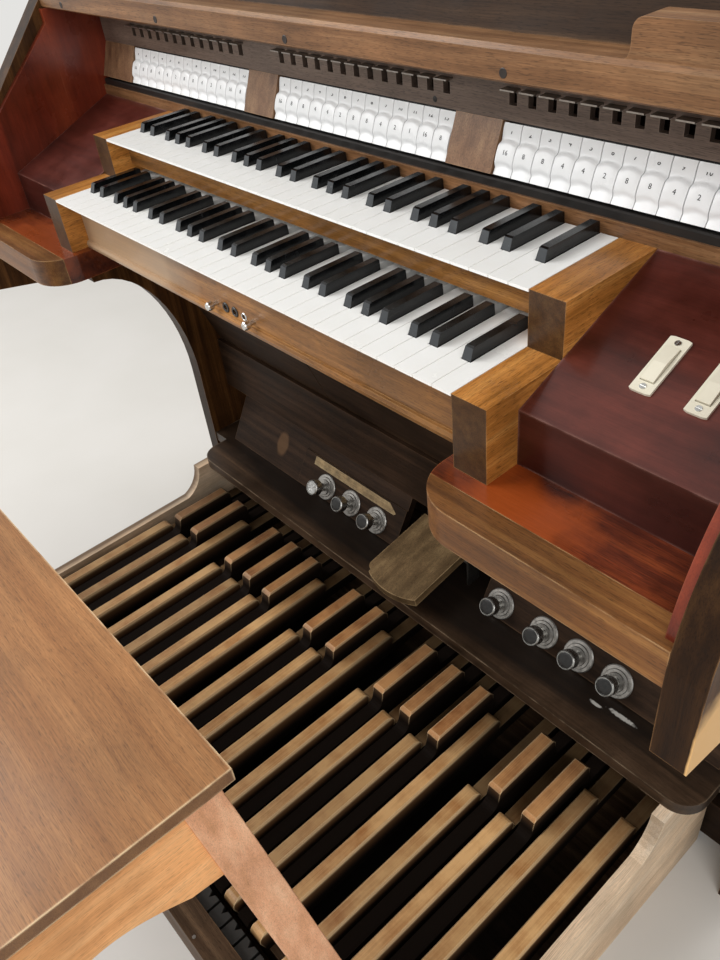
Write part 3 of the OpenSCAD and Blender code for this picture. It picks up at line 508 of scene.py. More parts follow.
@dataclass(frozen=True)
class PedalWood:
    """Planed oak pedal bars, varnished dark once and scrubbed by shoes ever since.

    The eye sees bare, slightly greasy tops that differ from bar to bar, a bright line along each
    arris that is partly rubbed wood and partly painted highlight, sides bare for a finger's width
    and then dark with old stain and painted shade, grime and painted shade towards the toes, where
    the player's shoes seldom go, and painted shade towards the bass end.
    """

    name: str
    bare: str
    tanned: str
    side: str
    stain_and_shade: str
    rub: str
    top_mm: float
    pitch_mm: float
    first_mm: float
    side_mm: float = 14.0
    fade_mm: float = 36.0
    bare_from_mm: float = -2000.0
    # Towards the toes the bars darken with grime and painted shade, towards the bass end with painted
    # shade.
    grime_and_shade_from_mm: float = 0.0
    grime_and_shade_to_mm: float = 260.0
    grime: float = 0.65
    bass_shade: float = 0.4
    # Coarser than real fibres, to show.
    fibre_mm: float = 1.6
    fibre_length_mm: float = 150.0
    smudge_mm: float = 60.0
    round_mm: float = 3.0
    bass_from_mm: float = -150.0
    bass_to_mm: float = -600.0

    def material(self, site: Site) -> bpy.types.Material:
        """Builds the material.

        Args:
            site: where the console stands in the model.

        Returns:
            The material.
        """
        mat, tree = new_tree(self.name)
        place = add(tree, "ShaderNodeTexCoord").outputs["Object"]
        axes = add(tree, "ShaderNodeSeparateXYZ", None, {"Vector": place}).outputs
        flat = add(tree, "ShaderNodeNewGeometry")
        soft, turn = arris_turn(tree, flat, self.round_mm)
        grain = Grain.ALONG_Y.streaks(tree, place, self.fibre_length_mm, self.fibre_mm, 4.0, 0.65)
        smudge = clouds(tree, place, self.smudge_mm, 5.0, 0.6)
        mottle = maths(tree, "MULTIPLY_ADD", grain, 0.5, smudge)
        top = ramp(tree, mottle, [(0.5, linear(self.tanned)), (0.86, linear(self.bare))])
        tone = remap(tree, self.each_bar(tree, site, axes["X"]), 0.0, 1.0, 0.74, 1.12)
        # Bare wood ends a finger's width down the side and at the bars' lower tails; below it, old
        # stain and painted shade.
        top_m = self.top_mm * MM
        foot_m = top_m - self.fade_mm * MM
        flank = ramp(tree, remap(tree, axes["Z"], foot_m, top_m),
                     [(0.0, linear(self.stain_and_shade)),
                      (1.0 - self.side_mm / self.fade_mm, linear(self.side)),
                      (1.0, linear(self.rub))])
        facing = add(tree, "ShaderNodeSeparateXYZ", None, {"Vector": soft}).outputs["Z"]
        upward = maths(tree, "ADD", facing, maths(tree, "MULTIPLY_ADD", smudge, 0.8, -0.4))
        colour = cover(tree, remap(tree, upward, 0.3, 0.8), flank, shade(tree, top, tone))
        # A pale line along each arris: rubbed wood with a painted highlight in it.
        colour = cover(tree, remap(tree, turn, 0.99, 0.8), colour, linear(self.rub))
        clean_and_lit = self.clean_and_lit_share(tree, site, axes)
        relief = add(tree, "ShaderNodeBump", {"Strength": 0.4, "Distance": 0.12 * MM},
                     {"Height": grain})
        surface(tree, {"IOR": 1.5},
                {"Base Color": cover(tree, clean_and_lit, linear(self.stain_and_shade), colour),
                 "Roughness": remap(tree, clean_and_lit, 0.0, 1.0, 0.66, 0.34),
                 "Specular IOR Level": remap(tree, clean_and_lit, 0.0, 1.0, 0.04, 0.45),
                 "Normal": relief.outputs["Normal"]})
        return mat

    def each_bar(self, tree: bpy.types.NodeTree, site: Site,
                 across: bpy.types.NodeSocket) -> bpy.types.NodeSocket:
        """Gives each bar a random value of its own.

        Args:
            tree: the material's tree.
            site: where the console stands in the model.
            across: the coordinate across the bars.

        Returns:
            The value, from 0 to 1.
        """
        pitch = self.pitch_mm * MM
        count = maths(tree, "MULTIPLY_ADD", across, 1.0 / pitch,
                      -site.at(self.first_mm, 0, 0).x / pitch)
        return add(tree, "ShaderNodeTexWhiteNoise", None, {"W": maths(tree, "ROUND", count)},
                   noise_dimensions="1D").outputs["Value"]

    def clean_and_lit_share(self, tree: bpy.types.NodeTree, site: Site,
                    axes: bpy.types.NodeOutputs) -> bpy.types.NodeSocket:
        """Works out how clean the wood is, and its painted shade, from its place on the pedalboard.

        Args:
            tree: the material's tree.
            site: where the console stands in the model.
            axes: the coordinates, one by one.

        Returns:
            A value from 0, old stain and painted shade, to 1, scrubbed wood.
        """
        top_m = self.top_mm * MM
        toes = [site.at(0, y, 0).y for y in (self.grime_and_shade_from_mm, self.grime_and_shade_to_mm)]
        bass = [site.at(x, 0, 0).x for x in (self.bass_from_mm, self.bass_to_mm)]
        front = [site.at(0, self.bare_from_mm + y, 0).y for y in (-6, 2)]
        # Grime and painted shade towards the toes, painted shade towards the bass end, old stain on the
        # sharps' stems in front of their blocks, and old stain with painted shade low on the sides.
        shares = (
            remap(tree, axes["Y"], *toes, 1.0, 1.0 - self.grime),
            remap(tree, axes["X"], *bass, 1.0, 1.0 - self.bass_shade),
            remap(tree, axes["Y"], *front),
            remap(tree, axes["Z"], top_m - self.fade_mm * MM, top_m - 0.5 * self.side_mm * MM))
        share = shares[0]
        for part in shares[1:]:
            share = maths(tree, "MULTIPLY", share, part)
        return share


@dataclass(frozen=True)
class Plastic:
    """Moulded and polished plastic.

    The eye sees an even body with a soft gloss, small scuffs, grime in soft clouds and, where asked,
    a painted grey reflection on the faces towards the player.
    """

    name: str
    body: str
    grime: str
    roughness: float = 0.25
    grime_amount: float = 0.3
    grime_mm: float = 40.0
    # Real scuffs are hairlines. They are drawn coarser, to show.
    scuff_mm: float = 0.6
    painted_front_reflection: Optional[str] = None

    def material(self, site: Site) -> bpy.types.Material:
        """Builds the material.

        Args:
            site: where the console stands in the model; not used.

        Returns:
            The material.
        """
        mat, tree = new_tree(self.name)
        place = add(tree, "ShaderNodeTexCoord").outputs["Object"]
        cloud = clouds(tree, place, self.grime_mm, 4.0, 0.6)
        colour = cover(tree, remap(tree, cloud, 0.45, 0.75, 0.0, self.grime_amount),
                       linear(self.body), linear(self.grime))
        # Faces towards the player take a painted grey reflection.
        if self.painted_front_reflection:
            flat = add(tree, "ShaderNodeNewGeometry")
            facing = add(tree, "ShaderNodeSeparateXYZ", None, {"Vector": flat.outputs["Normal"]})
            front = remap(tree, facing.outputs["Y"], -0.55, -0.85, 0.0, 0.8)
            colour = cover(tree, front, colour, linear(self.painted_front_reflection))
        relief = add(tree, "ShaderNodeBump", {"Strength": 0.12, "Distance": 0.03 * MM},
                     {"Height": clouds(tree, place, self.scuff_mm, 2.0)})
        rough = remap(tree, cloud, LOW, HIGH, self.roughness - 0.05, self.roughness + 0.08)
        surface(tree, {"IOR": 1.49},
                {"Base Color": colour, "Roughness": rough, "Normal": relief.outputs["Normal"]})
        return mat


@dataclass(frozen=True)
class Metal:
    """Plated or plain metal, turned or pressed.

    The eye sees bright reflections broken by duller, rougher spots of tarnish.
    """

    name: str
    body: str
    tarnish: str
    roughness: float = 0.2
    tarnish_amount: float = 0.4
    tarnish_mm: float = 7.0

    def material(self, site: Site) -> bpy.types.Material:
        """Builds the material.

        Args:
            site: where the console stands in the model; not used.

        Returns:
            The material.
        """
        mat, tree = new_tree(self.name)
        place = add(tree, "ShaderNodeTexCoord").outputs["Object"]
        dull = remap(tree, clouds(tree, place, self.tarnish_mm, 5.0, 0.65), 0.44, 0.68, 0.0,
                     self.tarnish_amount)
        surface(tree, {"Metallic": 1.0},
                {"Base Color": cover(tree, dull, linear(self.body), linear(self.tarnish)),
                 "Roughness": remap(tree, dull, 0.0, 1.0, self.roughness, self.roughness + 0.3)})
        return mat


# Plain steel of the shoe's bracket and of small screws.
STEEL = Metal("pressed_steel", "#9A9894", "#5E5A55", 0.35)


# Studio


@dataclass
class Studio:
    """The camera, the lamps and the floor that show the console."""

    site: Site
    camera_mm: Point = (812.168, -428.027, 1338.614)
    camera_turn: Point = (2.12869038, 0.897011423, -0.555182027)
    focal_px: float = 838.461
    image_height_px: float = 960.0
    sensor_mm: float = 36.0
    floor_colour: str = "#D9D6D0"
    floor_pale: str = "#DEDBD6"
    background: str = "#E4E3E0"
    world_light: float = 0.42
    lamps: list[tuple[str, Point, Point, float, float]] = field(default_factory=lambda: [
        ("window", (-1900.0, -1500.0, 2900.0), (0.0, 0.0, 700.0), 2.2, 92.0),
        ("room", (2300.0, -1700.0, 2500.0), (0.0, 0.0, 700.0), 2.4, 50.0),
        ("back", (400.0, 2300.0, 2700.0), (0.0, 0.0, 800.0), 2.0, 24.0),
    ])

    def build(self) -> None:
        """Makes the camera, lamps, world and floor."""
        self.make_camera()
        for lamp in self.lamps:
            self.make_lamp(*lamp)
        self.make_world()
        self.make_floor()
        bpy.context.scene.view_settings.view_transform = "Standard"

    def make_camera(self) -> None:
        """Places the camera as the picture was taken."""
        data = bpy.data.cameras.new("camera")
        data.sensor_width = self.sensor_mm
        data.lens = self.focal_px / self.image_height_px * self.sensor_mm
        data.clip_start = 0.02
        camera = bpy.data.objects.new("camera", data)
        bpy.context.collection.objects.link(camera)
        turn = Vector(self.camera_turn)
        to_camera = Matrix.Rotation(turn.length, 3, turn.normalized())
        flip = Matrix.Diagonal((1.0, -1.0, -1.0))
        pose = (to_camera.transposed() @ flip).to_4x4()
        pose.translation = self.site.at(*self.camera_mm)
        camera.matrix_world = pose
        bpy.context.scene.camera = camera

    def make_lamp(self, name: str, place: Point, aim: Point, size_m: float,
                  power: float) -> None:
        """Makes one soft square lamp.

        Args:
            name: the lamp's name.
            place: where it hangs.
            aim: what it points at.
            size_m: length of its sides in metres.
            power: its power in watts.
        """
        data = bpy.data.lights.new(name, "AREA")
        data.size = size_m
        data.energy = power
        lamp = bpy.data.objects.new(name, data)
        bpy.context.collection.objects.link(lamp)
        lamp.location = Vector(place) * MM
        lamp.rotation_euler = (Vector(aim) - Vector(place)).to_track_quat("-Z", "Y").to_euler()

    def make_world(self) -> None:
        """Makes the plain pale surroundings, which metal shows too."""
        world = bpy.data.worlds.new("surroundings")
        bpy.context.scene.world = world
        world.use_nodes = True
        tree = world.node_tree
        tree.nodes.clear()
        light = add(tree, "ShaderNodeBackground",
                    {"Color": (1.0, 0.98, 0.95, 1.0), "Strength": self.world_light})
        seen = add(tree, "ShaderNodeBackground", {"Color": linear(self.background), "Strength": 1.0})
        path = add(tree, "ShaderNodeLightPath")
        shown = maths(tree, "MAXIMUM",
                      maths(tree, "MAXIMUM", path.outputs["Is Camera Ray"],
                            path.outputs["Is Glossy Ray"]),
                      path.outputs["Is Transmission Ray"])
        mix = add(tree, "ShaderNodeMixShader", None,
                  {0: shown, 1: light.outputs["Background"],
                   2: seen.outputs["Background"]})
        add(tree, "ShaderNodeOutputWorld", None, {"Surface": mix.outputs["Shader"]})

    def make_floor(self) -> None:
        """Makes the plain pale floor."""
        half_m = 4.0
        mesh = bpy.data.meshes.new("floor")
        mesh.from_pydata([(-half_m, -half_m, 0), (half_m, -half_m, 0), (half_m, half_m, 0),
                          (-half_m, half_m, 0)], [], [(0, 1, 2, 3)])
        floor = bpy.data.objects.new("floor", mesh)
        floor.location.z = -0.5 * MM
        bpy.context.collection.objects.link(floor)
        mat, tree = new_tree("pale_floor")
        place = add(tree, "ShaderNodeTexCoord").outputs["Object"]
        cloud = add(tree, "ShaderNodeTexNoise", {"Scale": 3.0, "Detail": 3.0}, {"Vector": place})
        colour = ramp(tree, cloud.outputs["Fac"], [(LOW, linear(self.floor_colour)),
                                                   (HIGH, linear(self.floor_pale))])
        surface(tree, {"Roughness": 0.8}, {"Base Color": colour})
        mesh.materials.append(mat)


# Meshes


class Shape:
    """A mesh in the making."""

    def __init__(self) -> None:
        """Starts with nothing."""
        self.mesh = bmesh.new()

    def loft(self, rings: Sequence[Sequence[Vector]], capped: bool = True,
             joined: bool = False) -> None:
        """Joins closed rings of points into a skin.

        Args:
            rings: the rings, each with the same number of points.
            capped: whether the first and last ring are filled.
            joined: whether the last ring is joined to the first.
        """
        made = [[self.mesh.verts.new(point) for point in ring] for ring in rings]
        pairs = list(zip(made, made[1:])) + ([(made[-1], made[0])] if joined else [])
        for low, high in pairs:
            for i in range(len(low)):
                j = (i + 1) % len(low)
                self.mesh.faces.new((low[i], low[j], high[j], high[i]))
        if capped and not joined:
            self.mesh.faces.new(list(reversed(made[0])))
            self.mesh.faces.new(made[-1])

    def turned(self, profile: Sequence[Flat], axes: Matrix, steps: int = 40,
               ring: bool = False) -> None:
        """Turns a profile of radius and height about the third axis.

        Args:
            profile: radius and height of each point.
            axes: where the piece stands.
            steps: number of faces round it.
            ring: whether the profile closes on itself, for a piece with a hole.
        """
        angles = [math.tau * i / steps for i in range(steps)]
        rings = [[axes @ Vector((r * math.cos(a), r * math.sin(a), h)) for a in angles]
                 for r, h in profile]
        self.loft(rings, joined=ring)

    def prism(self, outline: Sequence[Flat], low: float, high: float, axes: Matrix) -> None:
        """Raises a flat outline between two heights.

        Args:
            outline: its points on the first two axes.
            low: height of its underside.
            high: height of its top.
            axes: where the piece stands.
        """
        self.loft([[axes @ Vector((x, y, h)) for x, y in outline] for h in (low, high)])

    def screw(self, radius: float, axes: Matrix, turn_deg: float = 0.0) -> None:
        """Makes a countersunk screw head with one slot.

        Args:
            radius: radius of the head.
            axes: where it sits, with its face outwards along the third axis.
            turn_deg: direction of the slot.
        """
        self.turned([(radius, -0.4), (radius, 0.15)], axes, 24)
        half_slot = radius * 0.16
        start = math.asin(half_slot / radius)
        for side in (0.0, math.pi):
            angles = [side + start + (math.pi - 2 * start) * i / 10 for i in range(11)]
            turned = axes @ Matrix.Rotation(math.radians(turn_deg), 4, "Z")
            self.prism([(radius * math.cos(a), radius * math.sin(a)) for a in angles],
                       0.1, 0.7, turned)

    def finish(self, name: str, smooth_deg: float = 32.0) -> bpy.types.Object:
        """Makes the object.

        Args:
            name: its name.
            smooth_deg: steepest fold that is still shaded smooth.

        Returns:
            The object.
        """
        bmesh.ops.recalc_face_normals(self.mesh, faces=self.mesh.faces)
        mesh = bpy.data.meshes.new(name)
        self.mesh.to_mesh(mesh)
        self.mesh.free()
        mesh.shade_smooth()
        mesh.set_sharp_from_angle(angle=math.radians(smooth_deg))
        piece = bpy.data.objects.new(name, mesh)
        bpy.context.collection.objects.link(piece)
        return piece


# The console


@dataclass
class Dresser:
    """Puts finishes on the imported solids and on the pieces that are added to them."""

    frame: dict
    site: Site
    made: dict[str, bpy.types.Material] = field(default_factory=dict)

    def finish(self, finish: object) -> bpy.types.Material:
        """The material of a finish, made once."""
        if finish.name not in self.made:
            self.made[finish.name] = finish.material(self.site)
        return self.made[finish.name]

    def dress(self, nodes: Iterable[str], finish: object, arris_mm: float = 0.0,
              segments: int = 2) -> None:
        """Gives CAD nodes a finish and, where asked, rounded arrises.

        Args:
            nodes: names of the nodes.
            finish: what they are made of.
            arris_mm: width of the rounding, or 0 for none.
            segments: number of faces in a rounding.
        """
        material = self.finish(finish)
        for name in nodes:
            node = self.frame["nodes"][name]
            node.data.materials.clear()
            node.data.materials.append(material)
            if arris_mm > 0:
                self.soften(node, arris_mm, segments)
            LOG.info("dressed %s with %s", name, finish.name)

    @staticmethod
    def soften(piece: bpy.types.Object, arris_mm: float, segments: int) -> None:
        """Rounds the arrises of a piece.

        Args:
            piece: the piece.
            arris_mm: width of the rounding.
            segments: number of faces in a rounding.
        """
        bevel = piece.modifiers.new("arris", "BEVEL")
        bevel.width = arris_mm * MM
        bevel.segments = segments
        bevel.limit_method = "ANGLE"
        bevel.angle_limit = math.radians(28)
        bevel.use_clamp_overlap = True

    def piece(self, shape: Shape, name: str, finish: object, slot: str, body: str = CONSOLE,
              replaces: Sequence[str] = (), smooth_deg: float = 32.0) -> bpy.types.Object:
        """Finishes an added piece and ties it to the model.

        Args:
            shape: its mesh.
            name: its name.
            finish: what it is made of.
            slot: the record's material slot; not used.
            body: the body that it rides on.
            replaces: the nodes that it stands for.
            smooth_deg: steepest fold that is still shaded smooth.

        Returns:
            The piece.
        """
        piece = shape.finish(name, smooth_deg)
        piece.data.materials.append(self.finish(finish))
        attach(piece, body)
        if replaces:
            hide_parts(*replaces)
        LOG.info("made %s", name)
        return piece


@dataclass
class Casework:
    """End panels, boards, shelves, boxes, cheeks and slips."""

    dresser: Dresser
    # Quartered oak stained nearly black-brown, worn bare where feet and knees touch it.
    knee: Wood = Wood("stained_oak_knee_board", "#20160F", "#302218", "#423023", Grain.ALONG_X,
                      roughness=0.55, coat=0.0, specular=0.1, rub="#6A523C", cloud_amount=0.4, spots=(
                          Spot((-432, 330, 300), (20, 60, 26), "#6B5038", 0.6, 0.1, 10.0),))
    # The ledge has the same stain, dusty, with a few chalky knocks on its top, and painted shade
    # along its back, where it meets the toe boards.
    ledge: Wood = Wood("stained_oak_toe_ledge", "#281D14", "#3C2C1F", "#4E3B2B", Grain.ALONG_X,
                       roughness=0.42, coat=0.05, specular=0.25, rub="#9A866E", rub_mm=3.5,
                       rub_amount=0.8, cloud_amount=0.4, spots=(
                           # Painted shade where the ledge meets the toe boards.
                           Spot((0, 292, 255), (720, 74, 60), "#130E0B", 0.85, 0.1, 70.0),
                           Spot((404, 266, 255), (12, 3.5, 4), "#B9B5AE", 0.85, 0.5, 5.0),
                           Spot((446, 273, 255), (26, 4.5, 4), "#B9B5AE", 0.85, 0.6, 5.0)))
    # Stained oak uprights with painted shade on the edge that faces the player, bare at the nose's
    # outer face.
    upright: Wood = Wood("stained_oak_upright", "#301C0D", "#4A2E16", "#664424", Grain.ALONG_Z,
                         rub="#A67C52", cloud_amount=0.35, painted_front_shade=0.36, specular=0.12,
                         coat=0.05, spots=(
                             Spot((676, -20, 730), (4, 70, 110), "#E6B87C", 0.95, 0.12, 16.0),))
    # Boards above the fascia, less handled and nearly black.
    plain: Wood = Wood("stained_oak_board", "#241912", "#34251A", "#473424", Grain.ALONG_X,
                       roughness=0.6, coat=0.0, specular=0.12, rub="#7A5C40")
    # Varnished oak of the fascia, browner along its edges.
    fascia: Wood = Wood("varnished_oak_fascia", "#583A22", "#7A5638", "#94704E", Grain.ALONG_X,
                        roughness=0.36, coat=0.2, rub="#B08A63", cloud_amount=0.35)
    # The posts between the tabs are lighter and pinkish.
    post: Wood = Wood("varnished_oak_post", "#61422C", "#7C5B41", "#927051", Grain.ALONG_Z,
                      roughness=0.4, coat=0.15, rub="#A98868")
    # The slips are golden, with painted window light that washes them pale at the bass end.
    slip: Wood = Wood("varnished_oak_slip", "#62401F", "#865A2C", "#A4743F", Grain.ALONG_X,
                      roughness=0.34, coat=0.2, rub="#C39A68", cloud_amount=0.35, spots=(
                          Spot((-330, 30, 890), (260, 30, 60), "#B79E82", 0.65, 0.3, 90.0),))
    # Cheeks are orange-brown along the grain and dark on the end grain that faces the player.
    cheek: Wood = Wood("varnished_oak_cheek", "#8C581F", "#B57737", "#CC914C", Grain.ALONG_Y,
                       figure_mm=9.0, pore_depth=0.5, end_tone=0.13, roughness=0.36, coat=0.12,
                       rub="#C9965E", rub_mm=1.4, cloud_amount=0.4)
    # Lippings are the same oak, browner in front and worn pale along the upper arris.
    lipping: Wood = Wood("varnished_oak_lipping", "#4E3018", "#6F4724", "#8A6034", Grain.ALONG_X,
                         roughness=0.38, coat=0.15, rub="#C39E70", rub_amount=0.9,
                         cloud_amount=0.35)
    # Mahogany boards under glossy red-brown varnish; the shelves carry painted orange pools of
    # light at their fronts.
    shelf: Wood = Wood("red_mahogany_shelf", "#43180B", "#5C2611", "#763719", Grain.ALONG_X,
                       figure_mm=10.0, figure_length_mm=120.0, pore_length_mm=14.0,
                       fibre_amount=0.35, pore_depth=0.5,
                       roughness=0.28, coat=0.35, rub="#B0663A", cloud_mm=70.0, cloud_amount=0.4,
                       spots=(
                           # Painted pools of light at the front of each shelf.
                           Spot((462, -4, 860), (86, 52, 30), "#A94D1B", 0.6, 0.9, 60.0),
                           Spot((-470, -4, 860), (150, 60, 30), "#9C4A20", 0.5, 0.9, 60.0)))
    # The boxes' slopes have a clouded violet-grey bloom on the varnish; their fronts get painted shade.
    box: Wood = Wood("red_mahogany_box", "#35120C", "#4A1D15", "#5C291F", Grain.ALONG_X,
                     figure_mm=30.0, fibre_amount=0.1, pore_depth=0.12, roughness=0.32, coat=0.4,
                     rub="#9A7266", rub_mm=4.0, cloud_mm=85.0, cloud_amount=0.4, painted_front_shade=0.6)
    # Linings are brighter red where the side light reaches them.
    lining: Wood = Wood("red_mahogany_lining", "#451609", "#682514", "#86381F", Grain.ALONG_Z,
                        figure_mm=40.0, fibre_amount=0.1, pore_depth=0.2, roughness=0.28, coat=0.35,
                        rub="#9A5A40", cloud_mm=130.0, cloud_amount=0.4)
    # Turned wooden plugs over the screws that hold the fascia.
    plug: Plastic = Plastic("dark_waxed_plug", "#1E140E", "#35261B", 0.5)
    plug_xs: tuple[float, ...] = (-568.0, -290.0, -12.6, 298.0, 576.0)
    plug_z: float = 1145.0
    plug_r: float = 4.4
    fascia_front: float = 168.0
    # A strip of bare label board, cut to a slant at one end.
    strip: Wood = Wood("bare_limewood_strip", "#8A7353", "#A08A66", "#B29C78", Grain.ALONG_X,
                       roughness=0.6, coat=0.0, rub="#C4B08D", cloud_mm=14.0, cloud_amount=0.35)
    strip_outline: tuple[Flat, ...] = ((-322, 58), (-88, 58), (-84, 62), (-105, 75), (-322, 75))
    inside_half: float = 643.0
    lining_t: float = 10.0
    lining_foot: float = 860.0
    lining_top: float = 1136.5
    lining_front: float = 162.5
    lining_back: float = 262.0
    ledge_start: float = 413.75
    ledge_front: float = 172.0
    ledge_back: float = 204.0
    ledge_foot: float = 1167.0
    ledge_h: float = 30.0
    ledge_round: float = 10.0

    def build(self) -> None:
        """Dresses the case and adds its small parts."""
        dress = self.dresser.dress
        dress(["end_panels"], self.upright, 1.5)
        dress(["back_panel", "plinth", "top_board", "music_desk"], self.plain, 1.2)
        dress(["toe_boards", "knee_boards"], self.knee, 1.0)
        dress(["toe_ledge"], self.ledge, 2.0, 3)
        dress(["fascia_board", "tab_rail"], self.fascia, 1.0)
        dress(["key_slips", "key_frames"], self.slip, 0.8)
        dress(["tab_posts"], self.post, 1.0)
        dress(["key_cheeks"], self.cheek, 0.8)
        dress(["shelf_lippings"], self.lipping, 1.5)
        dress(["side_shelves"], self.shelf, 1.0)
        dress(["side_boxes"], self.box, 4.0, 4)
        dress(["side_linings"], self.lining, 1.5)
        self.build_plugs()
        self.build_strip()
        self.build_lining_backs()
        self.build_ledges()

    def build_plugs(self) -> None:
        """Makes the plugs in the fascia's front."""
        shape = Shape()
        for x in self.plug_xs:
            axes = self.dresser.site.stand(x, self.fascia_front, self.plug_z, 90.0)
            shape.turned([(self.plug_r, -2.0), (self.plug_r, 0.1), (self.plug_r - 0.6, 0.5),
                          (1.6, 0.3)], axes, 28)
        self.dresser.piece(shape, "fascia_plugs", self.plug, "walnut_case")

    def build_strip(self) -> None:
        """Makes the bare strip above the three bass toe pistons."""
        shape = Shape()
        axes = self.dresser.site.stand(*TOE_FOOT, 90.0 - TOE_LEAN)
        shape.prism(self.strip_outline, -0.2, 1.2, axes)
        self.dresser.piece(shape, "piston_label_strip", self.strip, "walnut_case")

    def build_lining_backs(self) -> None:
        """Makes the part of each red lining that runs back under the fascia to the tab posts."""
        shape = Shape()
        flat = self.dresser.site.stand(0.0, 0.0, 0.0)
        for side in (-1, 1):
            near = side * (self.inside_half - 0.05)
            far = side * (self.inside_half - self.lining_t + 0.05)
            shape.prism([(near, self.lining_front), (far, self.lining_front),
                         (far, self.lining_back), (near, self.lining_back)],
                        self.lining_foot, self.lining_top, flat)
        self.dresser.piece(shape, "lining_backs", self.lining, "red_mahogany")

    def build_ledges(self) -> None:
        """Makes the two ledges on the fascia, each with a rounded and coved inner end."""
        shape = Shape()
        site = self.dresser.site
        top = self.ledge_foot + self.ledge_h
        bend = self.ledge_round
        steps = 8
        end = [(bend - bend * math.sin(a), top - bend + bend * math.cos(a))
               for a in (math.pi / 2 * i / steps for i in range(steps + 1))]
        cove = [(-bend * 0.5 * (1 - math.cos(a)), self.ledge_foot + bend * (1 - math.sin(a)))
                for a in (math.pi / 2 * i / steps for i in range(steps + 1))]
        for side in (-1, 1):
            start = self.ledge_start + bend * 0.5
            outline = [(start + u, z) for u, z in end + cove]
            outline += [(self.inside_half - 0.1, self.ledge_foot), (self.inside_half - 0.1, top)]
            shape.loft([[site.at(side * x, y, z) for x, z in outline]
                        for y in (self.ledge_front, self.ledge_back)])
        piece = self.dresser.piece(shape, "moulded_desk_ledges", self.fascia, "oak",
                                   replaces=["desk_ledges"])
        self.dresser.soften(piece, 3.0, 4)


@dataclass
class Keys:
    """The two manuals."""

    dresser: Dresser
    # Moulded acrylic key covers, polished by fingers, with a faint yellowing.
    white: Plastic = Plastic("moulded_white_acrylic", "#F6F6F3", "#E6E3DA", 0.2, 0.25)
    # Black acrylic sharps whose bevelled fronts carry a painted grey reflection.
    black: Plastic = Plastic("moulded_black_acrylic", "#08090A", "#1A1B1D", 0.2, 0.4, 12.0,
                             painted_front_reflection="#3C3F42")

    def build(self) -> None:
        """Dresses the keys."""
        self.dresser.dress(["upper_naturals", "lower_naturals"], self.white, 0.6)
        self.dresser.dress(["upper_sharps", "lower_sharps"], self.black, 0.8)


